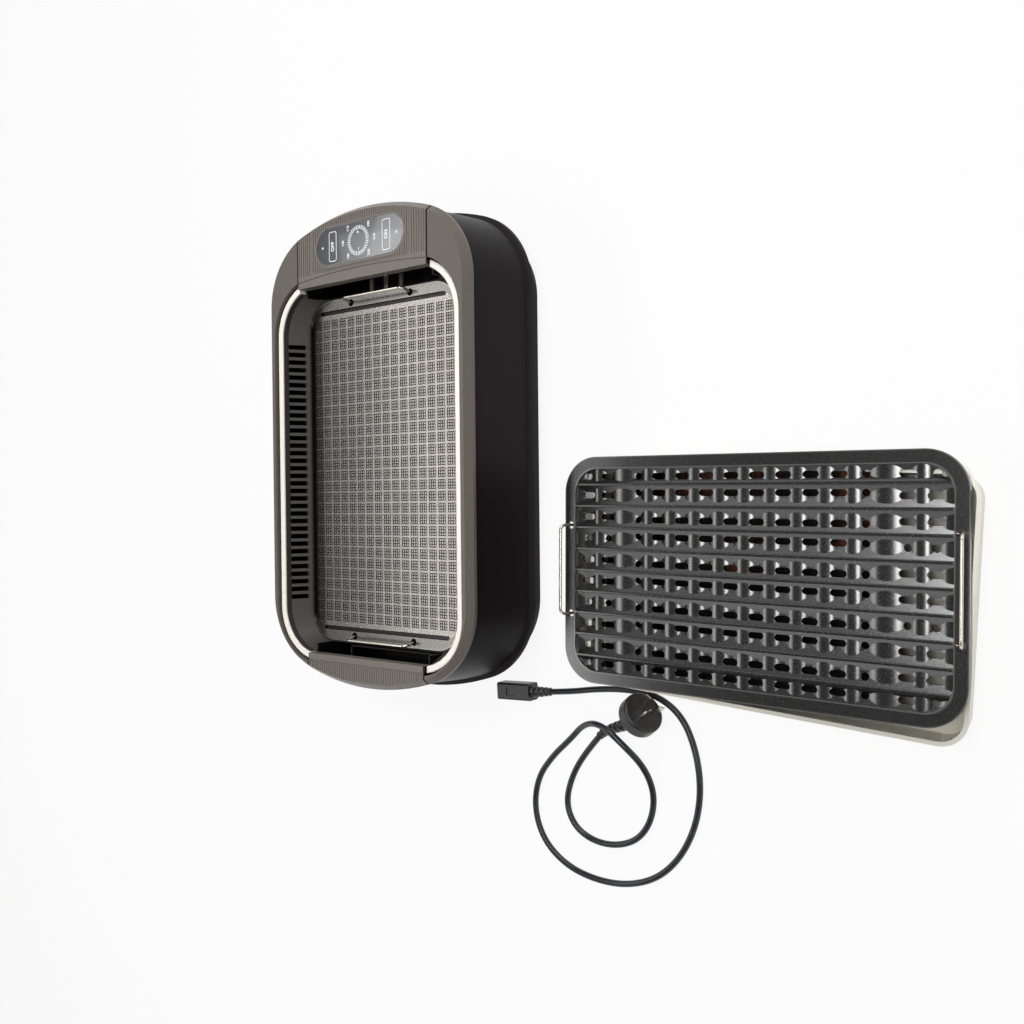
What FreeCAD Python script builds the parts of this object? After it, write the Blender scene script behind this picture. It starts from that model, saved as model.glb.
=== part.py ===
import FreeCAD, Part
import math
import os

V = FreeCAD.Vector

# Body casing. Origin: centre of the footprint on the table, +X towards the controls, -Y towards the cook.
body_half_length = 262.0        # at the rim's widest line
body_half_width = 151.0
body_corner_radius = 85.0
body_end_radius = 300.0         # the two ends bulge gently
rim_top_z = 131.6
rim_chamfer_run = 5.7
rim_chamfer_drop = 7.8
rim_skirt_height = 11.8
rim_bottom_z = rim_top_z - rim_skirt_height
rim_wall = 2.5
casing_wall = 2.2
casing_top_inset = 3.0          # the casing stands back under the rim
casing_bottom_flare = 3.0       # and flares out towards the base
casing_bottom_z = 38.0
ring_overhang = 8.0             # the ring stands out at the ends
ring_half_length = body_half_length + ring_overhang
ring_half_width = body_half_width + 0.7 * ring_overhang
ring_corner_radius = body_corner_radius + 5.0
ring_bottom_z = 28.0
ring_edge_z = 34.5
ring_ledge_inset = 4.2
ring_lip_height = 8.0
ring_lip_clearance = 0.2
pan_inset = 4.0
pan_half_length = body_half_length - pan_inset
pan_half_width = body_half_width - 0.75 * pan_inset
pan_corner_radius = body_corner_radius - 1.0
pan_foot_taper = 15.0           # the pan draws in towards the table, mostly at its ends
pan_foot_half_length = pan_half_length - pan_foot_taper
pan_foot_half_width = pan_half_width - pan_inset
pan_foot_corner_radius = pan_corner_radius - 6.0
pan_bottom_z = 2.0
foot_radius = 9.0
foot_inset = 28.0
foot_recess = 1.0
foot_chamfer = 1.0
screw_inset_x = 62.0
screw_inset_y = 13.0
screw_end_inset = 14.0
screw_boss_radius = 6.0
screw_well_radius = 4.0
screw_well_depth = 8.0
screw_hole_radius = 1.8
screw_radius = 1.7
screw_head_radius = 3.8
screw_head_height = 3.0
screw_socket_radius = 1.6
screw_socket_depth = 1.4
intake_slots = 5                # air slots each side of the fan's middle
intake_pitch = 9.0
intake_slot_width = 3.8

# Cooking well and trim.
well_centre_x = -22.5
end_rim_width = 47.0            # from the body's end to the trim, mean of the two ends
side_rim_width = 12.8
trim_half_length = body_half_length - end_rim_width
trim_half_width = body_half_width - side_rim_width
trim_corner_radius = 60.0
trim_width = 7.2
trim_top_z = 127.8
trim_gap = 2.2                  # dark gap between trim and rim
trim_edge_radius = 1.2
flange_thickness = 2.0
liner_wall = 1.5
slope_spread = 1.0              # extra thickness of the sloping sides
slope_bottom_z = 96.0
well_floor_z = 44.0
ledge_width = 8.5
vent_count = 34
vent_pitch = 8.85
vent_width = 5.4
vent_bottom_z = 101.0
vent_reach = 3.0                # the slots run up under the trim

# End modules.
control_half_width = 98.4
left_half_width = 87.9
module_gap = 1.2
control_module_length = 78.0
left_module_length = 33.0
control_lip_x = body_half_length - control_module_length
left_lip_x = left_module_length - body_half_length
rib_pitch = 3.4
rib_groove_width = 1.3
rib_groove_depth = 0.6
rib_end_inset = 7.5             # the ribs stop where the rim bends down
rib_side_margin = 1.5
lip_line_width = 0.9
lip_line_depth = 1.2
control_lip_width = 12.0
control_lip_bow = 5.0
left_lip_width = 7.0
module_top_wall = 3.2
cover_half_width = 74.4
cover_inner_x = control_lip_x + 15.5
cover_thickness = 3.2
cover_corner_radius = 6.0
cover_gap = 0.35
panel_centre_x = body_half_length - 38.0
panel_half_length = 66.4
panel_half_width = 20.6
panel_proud = 0.3
panel_clearance = 0.25
panel_border = 2.6              # smooth border between the ribs and the panel
panel_edge_chamfer = 0.5
board_thickness = 1.6
board_margin = 4.0
end_panel_wall = 2.0
end_panel_floor_z = 60.0
control_panel_x = control_lip_x + 7.8
left_panel_x = left_lip_x - 7.0
end_gap = 2.3                   # from the plate's end to the cut in the liner
end_panel_clearance = 1.4

# Cooking plates. Both plates share the flange, the body and the lifting handles.
plate_centre_x = well_centre_x + 0.7
plate_half_length = trim_half_length - 19.5
plate_half_width = trim_half_width - 23.2
plate_corner_radius = 36.0
plate_top_z = 100.0
plate_flange = 4.0
plate_depth = 8.0
plate_seat_clearance = 1.5

# Griddle face: a sunk land with a gutter round it and rows of shallow square cells.
land_drop = 1.2
land_margin = 4.0
land_corner_inset = 12.0
gutter_depth = 1.5
end_gutter_x = plate_half_length - 14.0
end_gutter_width = 4.6
end_gutter_half_length = plate_half_width - 19.0
side_gutter_y = plate_half_width - 5.25
side_gutter_width = 6.5
side_gutter_half_length = plate_half_length - 19.5
cell_pitch_x = 12.47
cell_pitch_y = 13.42
cell_size = 10.4
cell_depth = 0.7
cell_margin = 4.0
cell_columns = int(2 * (end_gutter_x - cell_margin) / cell_pitch_x)
cell_rows = int(2 * side_gutter_y / cell_pitch_y)

# Ridged face: bars along the plate, a sloping channel between each two, round humps across the channels
# and a slot or a round hole at every low place between two humps.
ridge_frame_width = 12.1        # the flat rim round the ridged face
ridge_corner_radius = 26.0
bar_pitch = 21.75
bars_per_side = 4
bar_half_width = 1.5
bar_top_half_width = 0.8
bar_chamfer = 0.35
bar_height = 0.8
bar_drop = 0.2                  # the bars' tops lie just under the plate's rim
channel_depth = 5.4
hump_height = 3.9
slot_length = 14.6
slot_width = 6.2
hole_radius = 3.4
slot_pitch = 25.2
slot_offset = 2.5               # the slots stand nearer to every second bar
round_row_inset = 72.0          # rows past the slots, from the ridged face's end
inner_end_row_inset = 37.4
outer_end_row_inset = 14.4
outer_channel_shift = 3.0       # the outermost channel is narrower

# Bail handles of the plates: bent wire hooked through two holes.
wire_radius = 1.5
handle_hole_radius = 4.0
handle_spacing = 91.0
handle_from_centre = plate_half_length - 6.5
handle_height = 16.0
handle_bend = 6.0
handle_lean_deg = 12.0
handle_foot_length = 4.2
handle_foot_gap = 0.25
handle_foot_bend = 2.4
handle_pocket_width = 12.0
handle_pocket_depth = 12.0
handle_pocket_room = 0.8
liner_pocket_room = 3.0

# Heater under the plate.
element_radius = 3.25
element_z = 88.4
terminal_offset_y = 22.6
element_outer_y = 75.0
element_inner_y = 25.0
element_left_x = plate_centre_x - plate_half_length + 41.3
element_turn_x = plate_centre_x + plate_half_length - 61.7
element_right_x = element_turn_x + 16.0
element_step = 48.0             # from the element's end to its first bend
element_hole_room = 0.5
element_bend = 14.0
bend_shrink = 0.02              # keeps a short straight between two bends
support_x = (-150.0, -30.0, 90.0)
support_height = 6.0
support_width = 8.0
terminal_block_size = (14.0, 68.0, 20.0)
terminal_wall = 2.0
probe_radius = 3.5
probe_reach = 12.0
probe_tip_radius = 1.5
clip_radius = 1.3
clip_bend = 4.0
clip_half_length = 63.0
clip_stand_off = 6.7
clip_hole_room = 0.05

# Fan and wiring in the base.
fan_x = well_centre_x
fan_radius = 50.0
fan_blades = 20
fan_blade_height = 13.0
fan_blade_length = 14.0
fan_blade_thickness = 1.4
fan_blade_turn = 35.0
fan_disc_z = 24.0
fan_disc_thickness = 1.6
fan_hub_radius = 7.0
fan_hub_height = 12.0
motor_radius = 27.0
motor_height = 13.0
motor_collar_radius = 6.0
motor_collar_height = 3.0
motor_base = 2.0
shaft_radius = 2.5
shaft_clearance = 0.05
shaft_end_gap = 0.5
shroud_radius = 56.0
shroud_wall = 1.5
shroud_top_gap = 2.5
board_size = (36.0, 90.0)
power_board_x = body_half_length - 77.0
post_radius = 2.5
post_inset = 5.0

# Power inlet at the back.
inlet_x = body_half_length - 94.0
inlet_z = 70.0
connector_width = 19.0
connector_height = 18.0
connector_length = 43.0
connector_clearance = 0.5
inlet_wall = 1.6
inlet_depth = 17.0
inlet_flange = 4.0
inlet_seat = 1.5
inlet_back = 2.0
inlet_flange_proud = 1.0
inlet_cutout_room = 0.4
inlet_pin_radius = 1.6
inlet_pin_gap = 5.5             # the pins end this far inside the socket's mouth
inlet_pin_spread = 10.0
inlet_low_pin_drop = 2.5
inlet_top_pin_rise = 3.5

# Mains lead on the table, its plug and the connector that goes into the inlet.
cord_radius = 3.3
cord_route = [
    (-307.0, -221.5, 4.7), (-329.0, -201.0, 3.4), (-357.0, -184.0, 3.4), (-386.0, -176.5, 3.4),
    (-409.5, -187.5, 3.4), (-420.5, -211.5, 3.4), (-420.0, -240.0, 3.4), (-408.5, -266.0, 3.4),
    (-386.0, -281.5, 3.4), (-358.0, -285.5, 3.4), (-331.0, -277.0, 9.0), (-307.0, -259.5, 23.0),
    (-290.0, -234.5, 23.0), (-295.0, -205.0, 9.0), (-316.5, -182.5, 3.4), (-337.0, -160.0, 3.4),
    (-364.0, -139.5, 3.4), (-399.0, -134.0, 3.4), (-432.0, -146.5, 3.4), (-453.0, -175.0, 3.4),
    (-461.0, -211.0, 3.4), (-459.0, -250.0, 3.4), (-445.0, -286.0, 3.4), (-419.0, -313.0, 3.4),
    (-384.0, -331.0, 3.4), (-346.0, -337.5, 3.4), (-308.0, -332.5, 3.4), (-275.0, -317.5, 3.4),
    (-257.0, -289.0, 3.4), (-255.0, -252.0, 3.4), (-258.5, -217.0, 3.4), (-264.5, -185.0, 3.6),
    (-267.0, -160.0, 6.0),
]
cord_bend_share = 0.45
plug_centre = (-275.0, -281.0, 23.0)
plug_axis = (0.564, -0.752, 0.342)
plug_radius = 21.5
plug_thickness = 16.0
plug_edge_radius = 3.0
plug_neck_room = 2.0
plug_neck_length = 5.0
plug_neck_out = 3.0
plug_pin_length = 17.0
plug_pin_thickness = 1.6
plug_pin_width = 6.4
plug_pin_places = ((-7.9, 4.0, 30.0), (7.9, 4.0, -30.0), (0.0, -10.3, 0.0))
plug_boot_start_radius = 7.5
plug_boot_end_radius = 4.4
plug_boot_lead_out = (16.0, 14.0)
plug_boot_steps = 7
connector_centre = (-269.8, -116.5)
connector_turn_deg = 93.0
connector_edge_radius = 2.5
connector_recess = (13.0, 9.0, 1.0)
connector_recess_shift = 2.5
connector_hole_depth = 13.9
connector_hole_room = 0.2
connector_boot_start_radius = 6.8
connector_boot_end_radius = 4.4
connector_boot_steps = 4

# Spare ridged plate, laid on the drip tray in front of the grill.
spare_centre = (-132.7, -397.7)
spare_turn_deg = 90.0 - 0.8
tray_centre = (-142.0, -411.6)
tray_turn_deg = 86.6
tray_half_length = plate_half_length - 11.5
tray_half_width = plate_half_width - 1.0
tray_corner_radius = 24.0
tray_height = 29.9
tray_wall = 0.8
tray_rim = 3.0
tray_rim_height = 2.4
tray_draft = 4.0

# Cutting tools reach past the piece by these.
past = 1.0
far = 10.0
tall = rim_top_z + far


def rounded_rect(half_x, half_y, radius, z, centre_x=0.0, centre_y=0.0):
    """Closed wire of a rectangle with round corners, at height z."""
    c = math.sqrt(0.5) * radius
    ix = half_x - radius
    iy = half_y - radius
    edges = []
    corners = [(1, 1), (-1, 1), (-1, -1), (1, -1)]
    for number, (sx, sy) in enumerate(corners):
        mid = V(centre_x + sx * (ix + c), centre_y + sy * (iy + c), z)
        along_x = V(centre_x + sx * half_x, centre_y + sy * iy, z)
        along_y = V(centre_x + sx * ix, centre_y + sy * half_y, z)
        first, last = (along_x, along_y) if sx * sy > 0 else (along_y, along_x)
        edges.append(Part.Arc(first, mid, last).toShape())
        nx, ny = corners[(number + 1) % 4]
        next_x = V(centre_x + nx * half_x, centre_y + ny * iy, z)
        next_y = V(centre_x + nx * ix, centre_y + ny * half_y, z)
        target = next_y if nx * ny < 0 else next_x
        edges.append(Part.LineSegment(last, target).toShape())
    return Part.Wire(edges)


def oval(half_x, half_y, corner, end, z):
    """Closed wire with straight long sides, round corners and bulging ends."""
    end_centre = half_x - end
    corner_y = half_y - corner
    reach = end - corner
    corner_x = end_centre + math.sqrt(reach * reach - corner_y * corner_y)
    join = math.atan2(corner_y, corner_x - end_centre)

    def on_end(angle, side):
        return V(side * (end_centre + end * math.cos(angle)), end * math.sin(angle), z)

    def on_corner(angle, side, up):
        return V(side * (corner_x + corner * math.cos(angle)), up * (corner_y + corner * math.sin(angle)), z)

    middle = 0.5 * (join + math.pi / 2)
    edges = [Part.Arc(on_end(-join, 1), on_end(0, 1), on_end(join, 1)).toShape()]
    edges.append(Part.Arc(on_end(join, 1), on_corner(middle, 1, 1), V(corner_x, half_y, z)).toShape())
    edges.append(Part.LineSegment(V(corner_x, half_y, z), V(-corner_x, half_y, z)).toShape())
    edges.append(Part.Arc(V(-corner_x, half_y, z), on_corner(middle, -1, 1), on_end(join, -1)).toShape())
    edges.append(Part.Arc(on_end(join, -1), on_end(0, -1), on_end(-join, -1)).toShape())
    edges.append(Part.Arc(on_end(-join, -1), on_corner(middle, -1, -1), V(-corner_x, -half_y, z)).toShape())
    edges.append(Part.LineSegment(V(-corner_x, -half_y, z), V(corner_x, -half_y, z)).toShape())
    edges.append(Part.Arc(V(corner_x, -half_y, z), on_corner(middle, 1, -1), on_end(-join, 1)).toShape())
    return Part.Wire(edges)


def body_oval(offset, z):
    """The rim's outline moved outwards by offset."""
    return oval(body_half_length + offset, body_half_width + offset, body_corner_radius + offset,
                body_end_radius + offset, z)


def well_rect(offset, z):
    """The trim's outer outline moved outwards by offset."""
    return rounded_rect(trim_half_length + offset, trim_half_width + offset, trim_corner_radius + offset, z,
                        well_centre_x)


def plate_rect(offset, z, centre_x=None):
    """The plate's outline moved outwards by offset."""
    x = plate_centre_x if centre_x is None else centre_x
    return rounded_rect(plate_half_length + offset, plate_half_width + offset, plate_corner_radius + offset, z, x)


def prism(wire, height):
    return Part.Face(wire).extrude(V(0, 0, height))


def frustum(lower, upper):
    return Part.makeLoft([lower, upper], True, True)


def block(x0, x1, y0, y1, z0, z1):
    return Part.makeBox(x1 - x0, y1 - y0, z1 - z0, V(x0, y0, z0))


def fuse(solids):
    first = solids[0]
    if len(solids) == 1:
        return first
    return first.multiFuse(solids[1:]).removeSplitter()


def cut(solid, tools):
    return solid.cut(tools) if tools else solid


def write(name, shape):
    """One file per piece; groups of like pieces stay separate solids in it."""
    solids = shape.Solids
    result = solids[0] if len(solids) == 1 else Part.makeCompound(solids)
    result.exportStep(os.path.join("parts", name + ".step"))
    print(name, len(solids), result.isValid(), round(result.Volume / 1000.0, 2))


def path_through(points, radii):
    """Straight runs between points, joined by tangent arcs of the given radii."""
    edges = []
    start = points[0]
    for before, corner, after, radius in zip(points, points[1:], points[2:], radii):
        into = (corner - before).normalize()
        out = (after - corner).normalize()
        half = into.getAngle(out) / 2
        back = radius * math.tan(half)
        first = corner - into * back
        last = corner + out * back
        inward = (out - into).normalize()
        middle = corner + inward * (radius / math.cos(half) - radius)
        edges.append(Part.LineSegment(start, first).toShape())
        edges.append(Part.Arc(first, middle, last).toShape())
        start = last
    edges.append(Part.LineSegment(start, points[-1]).toShape())
    return Part.Wire(edges)


def tube_along(path, radius):
    """Round bar swept along a path of lines and tangent arcs."""
    start = path.OrderedEdges[0]
    direction = start.tangentAt(start.FirstParameter)
    circle = Part.Circle(start.valueAt(start.FirstParameter), direction, radius).toShape()
    sweep = Part.BRepOffsetAPI.MakePipeShell(path)
    sweep.add(Part.Wire([circle]))
    sweep.build()
    sweep.makeSolid()
    return sweep.shape()


# Rim

def rim_block():
    """Whole rim as a solid slab: upright skirt, then the bevel up to the flat top."""
    bevel_z = rim_top_z - rim_chamfer_drop
    skirt = prism(body_oval(0, rim_bottom_z), bevel_z - rim_bottom_z)
    bevel = frustum(body_oval(0, bevel_z), body_oval(-rim_chamfer_run, rim_top_z))
    return fuse([skirt, bevel])


def rim_cavity():
    """Room under the rim, one wall inside its skirt and its top."""
    roof = rim_top_z - module_top_wall + 0.3
    return frustum(body_oval(-rim_wall, rim_bottom_z), body_oval(-rim_wall - rim_chamfer_run, roof))


def bezels(block_solid, cavity):
    inner = prism(well_rect(trim_gap, rim_bottom_z), rim_top_z - rim_bottom_z)
    inner_wall = prism(well_rect(trim_gap + rim_wall, rim_bottom_z), rim_top_z - rim_bottom_z)
    ring = block_solid.cut([inner, cavity.cut(inner_wall)])
    return front_and_back(ring)


def front_and_back(ring):
    """Cuts the end modules' places out of a ring and parts what is left into its front and back."""
    reach = body_half_length + far
    right = control_half_width + module_gap
    left = left_half_width + module_gap
    ring = ring.cut([block(0, reach, -right, right, 0, tall), block(-reach, 0, -left, left, 0, tall)])
    front = ring.common(block(-reach, reach, -reach, 0, 0, tall))
    back = ring.common(block(-reach, reach, 0, reach, 0, tall))
    return front, back


def trims():
    """Pale strip round the well with a rolled inner edge; the modules interrupt it."""
    height = trim_top_z - rim_bottom_z
    ring = prism(well_rect(0, rim_bottom_z), height).cut(prism(well_rect(-trim_width, rim_bottom_z), height))
    edges = []
    for edge in ring.Edges:
        box = edge.BoundBox
        if box.ZMin > trim_top_z - 0.01:
            edges.append(edge)
    return front_and_back(ring.makeFillet(trim_edge_radius, edges))


def grooves(x0, x1, half_width, keep=None):
    """Cutters for the ribs that run along the grill's length."""
    cutters = []
    count = int(half_width / rib_pitch)
    for number in range(-count, count + 1):
        y = number * rib_pitch
        if keep and not keep(y):
            continue
        cutters.append(block(x0, x1, y - rib_groove_width / 2, y + rib_groove_width / 2,
                             rim_top_z - rib_groove_depth, tall))
    return cutters


def lip_groove(lip_x, width, bow, half_width):
    """Thin curved line that parts the smooth lip from the ribs."""
    outer = lip_x + width
    radius = (half_width * half_width + bow * bow) / (2 * bow)
    low = V(outer - radius, 0, rim_top_z - lip_line_depth)
    disc = Part.makeCylinder(radius, lip_line_depth + past, low)
    inner = Part.makeCylinder(radius - lip_line_width, lip_line_depth + past, low)
    return disc.cut(inner).common(block(lip_x, outer + past, -half_width - far, half_width + far, 0, tall))


def cover_plan(clearance, z0, z1):
    """Region of the control cover, open towards the outer edge."""
    half = cover_half_width + clearance
    x0 = cover_inner_x - clearance
    radius = cover_corner_radius + clearance
    x1 = body_half_length + 4 * far
    wire = rounded_rect((x1 - x0) / 2, half, radius, z0, (x0 + x1) / 2)
    return prism(wire, z1 - z0)


def stadium(clearance, z0, z1):
    """Long panel outline with fully round ends, along Y."""
    half_x = panel_half_width + clearance
    half_y = panel_half_length + clearance
    wire = rounded_rect(half_x, half_y, half_x - 0.001, z0, panel_centre_x)
    return prism(wire, z1 - z0)


def control_housing(block_solid, cavity):
    reach = body_half_length + far
    body = block_solid.common(block(control_lip_x, reach, -control_half_width, control_half_width, 0, tall))
    ceiling = rim_top_z - cover_thickness - rim_wall
    hollow = cavity.common(block(control_lip_x + rim_wall, reach, -control_half_width + rim_wall,
                                 control_half_width - rim_wall, 0, ceiling))
    floor = rim_top_z - cover_thickness
    cutters = [hollow, cover_plan(0, floor, tall)]
    cutters.append(lip_groove(control_lip_x, control_lip_width, control_lip_bow, control_half_width))
    rib_x = control_lip_x + control_lip_width + rib_side_margin
    beside = cover_half_width + rib_groove_width
    cutters += grooves(rib_x, reach, control_half_width - rib_side_margin, lambda y: abs(y) > beside)
    inner_end = cover_inner_x - past
    cutters += grooves(rib_x, inner_end, cover_half_width)
    return cut(body, cutters)


def control_cover(block_solid):
    floor = rim_top_z - cover_thickness
    body = block_solid.common(cover_plan(-cover_gap, floor, tall))
    cutters = grooves(cover_inner_x - past, body_half_length + far, cover_half_width - rib_side_margin)
    border = stadium(panel_border, rim_top_z - past, tall)
    cutters = [c.cut(border) for c in cutters]
    cutters.append(stadium(panel_clearance, floor - past, tall))
    return cut(body, cutters)


def control_glass():
    floor = rim_top_z - cover_thickness
    slab = stadium(0, floor, rim_top_z + panel_proud)
    top = [e for e in slab.Edges if e.BoundBox.ZMin > rim_top_z]
    return slab.makeChamfer(panel_edge_chamfer, top)


def touch_board():
    ceiling = rim_top_z - cover_thickness - rim_wall
    half = panel_half_length - board_margin
    return block(panel_centre_x - board_size[0] / 2, panel_centre_x + board_size[0] / 2, -half, half,
                 ceiling - board_thickness, ceiling)


def left_end_housing(block_solid, cavity):
    reach = body_half_length + far
    body = block_solid.common(block(-reach, left_lip_x, -left_half_width, left_half_width, 0, tall))
    ceiling = rim_top_z - module_top_wall
    hollow = cavity.common(block(-reach, left_lip_x - rim_wall, -left_half_width + rim_wall,
                                 left_half_width - rim_wall, 0, ceiling))
    line_x = left_lip_x - left_lip_width
    cutters = [hollow, block(line_x - lip_line_width, line_x, -reach, reach, rim_top_z - lip_line_depth, tall)]
    cutters += grooves(rib_end_inset - body_half_length, line_x - rib_side_margin,
                       left_half_width - rib_side_margin)
    return cut(body, cutters)


# Casing

def casing_taper():
    """How far the casing draws in for each millimetre of height."""
    return (casing_bottom_flare + casing_top_inset) / (rim_bottom_z - flange_thickness - casing_bottom_z)


def outer_shell():
    height = rim_bottom_z - flange_thickness
    lower = casing_bottom_flare
    upper = -casing_top_inset
    outside = frustum(body_oval(lower, casing_bottom_z), body_oval(upper, height))
    inside = frustum(body_oval(lower - casing_wall, casing_bottom_z), body_oval(upper - casing_wall, height))
    wall = outside.cut(inside)
    back = body_half_width
    half_w = inlet_half_width() + inlet_cutout_room
    half_h = inlet_half_height() + inlet_cutout_room
    return wall.cut(block(inlet_x - half_w, inlet_x + half_w, back - far, back + far, inlet_z - half_h,
                          inlet_z + half_h))


def base_ring():
    """Ledge round the foot of the casing: upright edge, sloping top and a lip inside the casing."""
    def ring_oval(offset, z):
        return oval(ring_half_length + offset, ring_half_width + offset, ring_corner_radius + offset,
                    body_end_radius + offset, z)

    edge = prism(ring_oval(0, ring_bottom_z), ring_edge_z - ring_bottom_z)
    slope = frustum(ring_oval(0, ring_edge_z), ring_oval(-ring_ledge_inset, casing_bottom_z))
    lip_out = casing_bottom_flare - casing_wall - casing_taper() * ring_lip_height - ring_lip_clearance
    lip = prism(body_oval(lip_out, casing_bottom_z), ring_lip_height)
    hole_out = lip_out - casing_wall
    hole = prism(body_oval(hole_out, ring_bottom_z), tall)
    return fuse([edge, slope, lip]).cut(hole)


def bottom_pan():
    def pan_ring(inset, top):
        low = rounded_rect(pan_foot_half_length - inset, pan_foot_half_width - inset,
                           pan_foot_corner_radius - inset, pan_bottom_z + (inset if inset else 0))
        high = rounded_rect(pan_half_length - inset, pan_half_width - inset, pan_corner_radius - inset, top)
        return frustum(low, high)

    pan = pan_ring(0, ring_bottom_z).cut(pan_ring(casing_wall, ring_bottom_z + past / 100))
    floor_z = pan_bottom_z + casing_wall
    bosses = []
    holes = []
    for x, y in screw_places():
        bosses.append(Part.makeCylinder(screw_boss_radius, ring_bottom_z - floor_z, V(x, y, floor_z)))
        holes.append(Part.makeCylinder(screw_well_radius, screw_well_depth, V(x, y, pan_bottom_z)))
        holes.append(Part.makeCylinder(screw_hole_radius, ring_bottom_z, V(x, y, pan_bottom_z)))
    feet_recess = [Part.makeCylinder(foot_radius + 0.3, foot_recess, V(x, y, pan_bottom_z))
                   for x, y in foot_places()]
    return fuse([pan] + bosses).cut(holes + feet_recess + intake_slots_under_fan(floor_z))


def intake_slots_under_fan(floor_z):
    slots = []
    for number in range(-intake_slots, intake_slots + 1):
        y = number * intake_pitch
        half = math.sqrt(shroud_radius ** 2 - y * y) - 2 * screw_well_radius
        slots.append(block(fan_x - half, fan_x + half, y - intake_slot_width / 2, y + intake_slot_width / 2,
                           0, floor_z + past))
    return slots


def screw_places():
    half_x = pan_foot_half_length - screw_inset_x
    half_y = pan_foot_half_width - screw_inset_y
    end_x = pan_foot_half_length - screw_end_inset
    return [(sx * half_x, sy * half_y) for sx in (-1, 1) for sy in (-1, 1)] + [(-end_x, 0.0), (end_x, 0.0)]


def foot_places():
    half_x = pan_foot_half_length - foot_inset * 1.6
    half_y = pan_foot_half_width - foot_inset
    return [(sx * half_x, sy * half_y) for sx in (-1, 1) for sy in (-1, 1)]


def feet():
    discs = []
    for x, y in foot_places():
        disc = Part.makeCylinder(foot_radius, pan_bottom_z + foot_recess, V(x, y, 0))
        lower = [e for e in disc.Edges if e.BoundBox.ZMax < 0.01]
        discs.append(disc.makeChamfer(foot_chamfer, lower))
    return Part.makeCompound(discs)


def base_screws():
    screws = []
    seat = pan_bottom_z + screw_well_depth
    for x, y in screw_places():
        low = V(x, y, seat - screw_head_height)
        head = Part.makeCylinder(screw_head_radius, screw_head_height, low)
        shank = Part.makeCylinder(screw_radius, ring_bottom_z - seat, V(x, y, seat))
        socket = Part.makeCylinder(screw_socket_radius, screw_socket_depth, low)
        screws.append(head.fuse(shank).cut(socket))
    return Part.makeCompound(screws)


# Well

def liner_outline(offset, z):
    """Seat of the plate: its outline with room all round."""
    return plate_rect(plate_seat_clearance + offset, z)


def inner_liner():
    """Flange under the rim, sloping sides with air slots, and the ledge that the plate rests on."""
    flange_z = rim_bottom_z - flange_thickness
    flange = prism(body_oval(-casing_top_inset, flange_z), flange_thickness)
    top = well_rect(-trim_width, rim_bottom_z)
    seat = liner_outline(0, slope_bottom_z)
    hole = frustum(seat, top)
    grown = liner_wall + slope_spread
    slope = frustum(liner_outline(grown, slope_bottom_z - liner_wall), well_rect(grown - trim_width, rim_bottom_z))
    ledge_hole = prism(plate_rect(-ledge_width, slope_bottom_z - far), 2 * far)
    body = fuse([flange, slope]).cut([hole, ledge_hole])
    return body.cut(liner_cutters())


def lower_well():
    """Deep pan under the plate, hung from the liner's ledge; the heater lies across it."""
    top = slope_bottom_z - liner_wall
    outside = prism(plate_rect(liner_wall - ledge_width, well_floor_z - liner_wall), top - well_floor_z + liner_wall)
    inside = prism(plate_rect(-ledge_width, well_floor_z), tall)
    holes = [handle_pocket(side, y, liner_pocket_room) for side in (-1, 1) for y in bail_foot_places()]
    return outside.cut([inside] + holes + heater_holes(plate_centre_x + plate_half_length - 4 * far, 8 * far))


def heater_holes(from_x, length):
    """Clearance holes for the heater's two ends and the thermostat probe, along X."""
    holes = [Part.makeCylinder(element_radius + element_hole_room, length, V(from_x, y, element_z), V(1, 0, 0))
             for y in (-terminal_offset_y, terminal_offset_y)]
    probe = V(from_x, 0, element_z)
    return holes + [Part.makeCylinder(probe_radius + element_hole_room, length, probe, V(1, 0, 0))]


def bail_foot_places():
    return (-handle_spacing / 2, handle_spacing / 2)


def liner_cutters():
    cutters = []
    right_from = plate_centre_x + plate_half_length + end_gap
    left_from = plate_centre_x - plate_half_length - end_gap
    wall = end_panel_wall
    half_r = control_half_width - end_panel_clearance
    half_l = left_half_width - end_panel_clearance
    cutters.append(block(right_from, control_panel_x + wall, -half_r, half_r, end_panel_floor_z, tall))
    cutters.append(block(left_panel_x - wall, left_from, -half_l, half_l, end_panel_floor_z, tall))
    vent_back_y = trim_half_width - trim_width + vent_reach
    for number in range(vent_count):
        x = well_centre_x + (number - (vent_count - 1) / 2) * vent_pitch
        cutters.append(block(x - vent_width / 2, x + vent_width / 2, plate_half_width + past, vent_back_y,
                             vent_bottom_z, tall))
    for side in (-1, 1):
        for y in bail_foot_places():
            cutters.append(handle_pocket(side, y, liner_pocket_room))
    return cutters


def end_panel(side, wall_x, half):
    """Black tray-shaped inner wall at one end: back wall, floor and two cheeks."""
    liner_face = plate_centre_x + side * (plate_half_length - ledge_width + liner_wall)
    edge = plate_centre_x + side * (plate_half_length + end_gap)
    wall = end_panel_wall
    top = rim_bottom_z
    low = end_panel_floor_z - wall

    def span(a, b, y0, y1, z0, z1):
        return block(min(a, b), max(a, b), y0, y1, z0, z1)

    outer_x = wall_x + side * wall
    ledge_under = slope_bottom_z - liner_wall - past / 2
    shell = fuse([span(edge, outer_x, -half, half, end_panel_floor_z, top),
                  span(liner_face, outer_x, -half, half, low, ledge_under)])
    room = fuse([span(edge - side * past / 100, wall_x, -half + wall, half - wall, end_panel_floor_z, tall),
                 span(liner_face - side, wall_x, -half + wall, half - wall, end_panel_floor_z, ledge_under)])
    return shell.cut(room)


def right_inner_panel():
    panel = end_panel(1, control_panel_x, control_half_width - end_panel_clearance)
    return panel.cut(heater_holes(control_panel_x - past, far))


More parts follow.
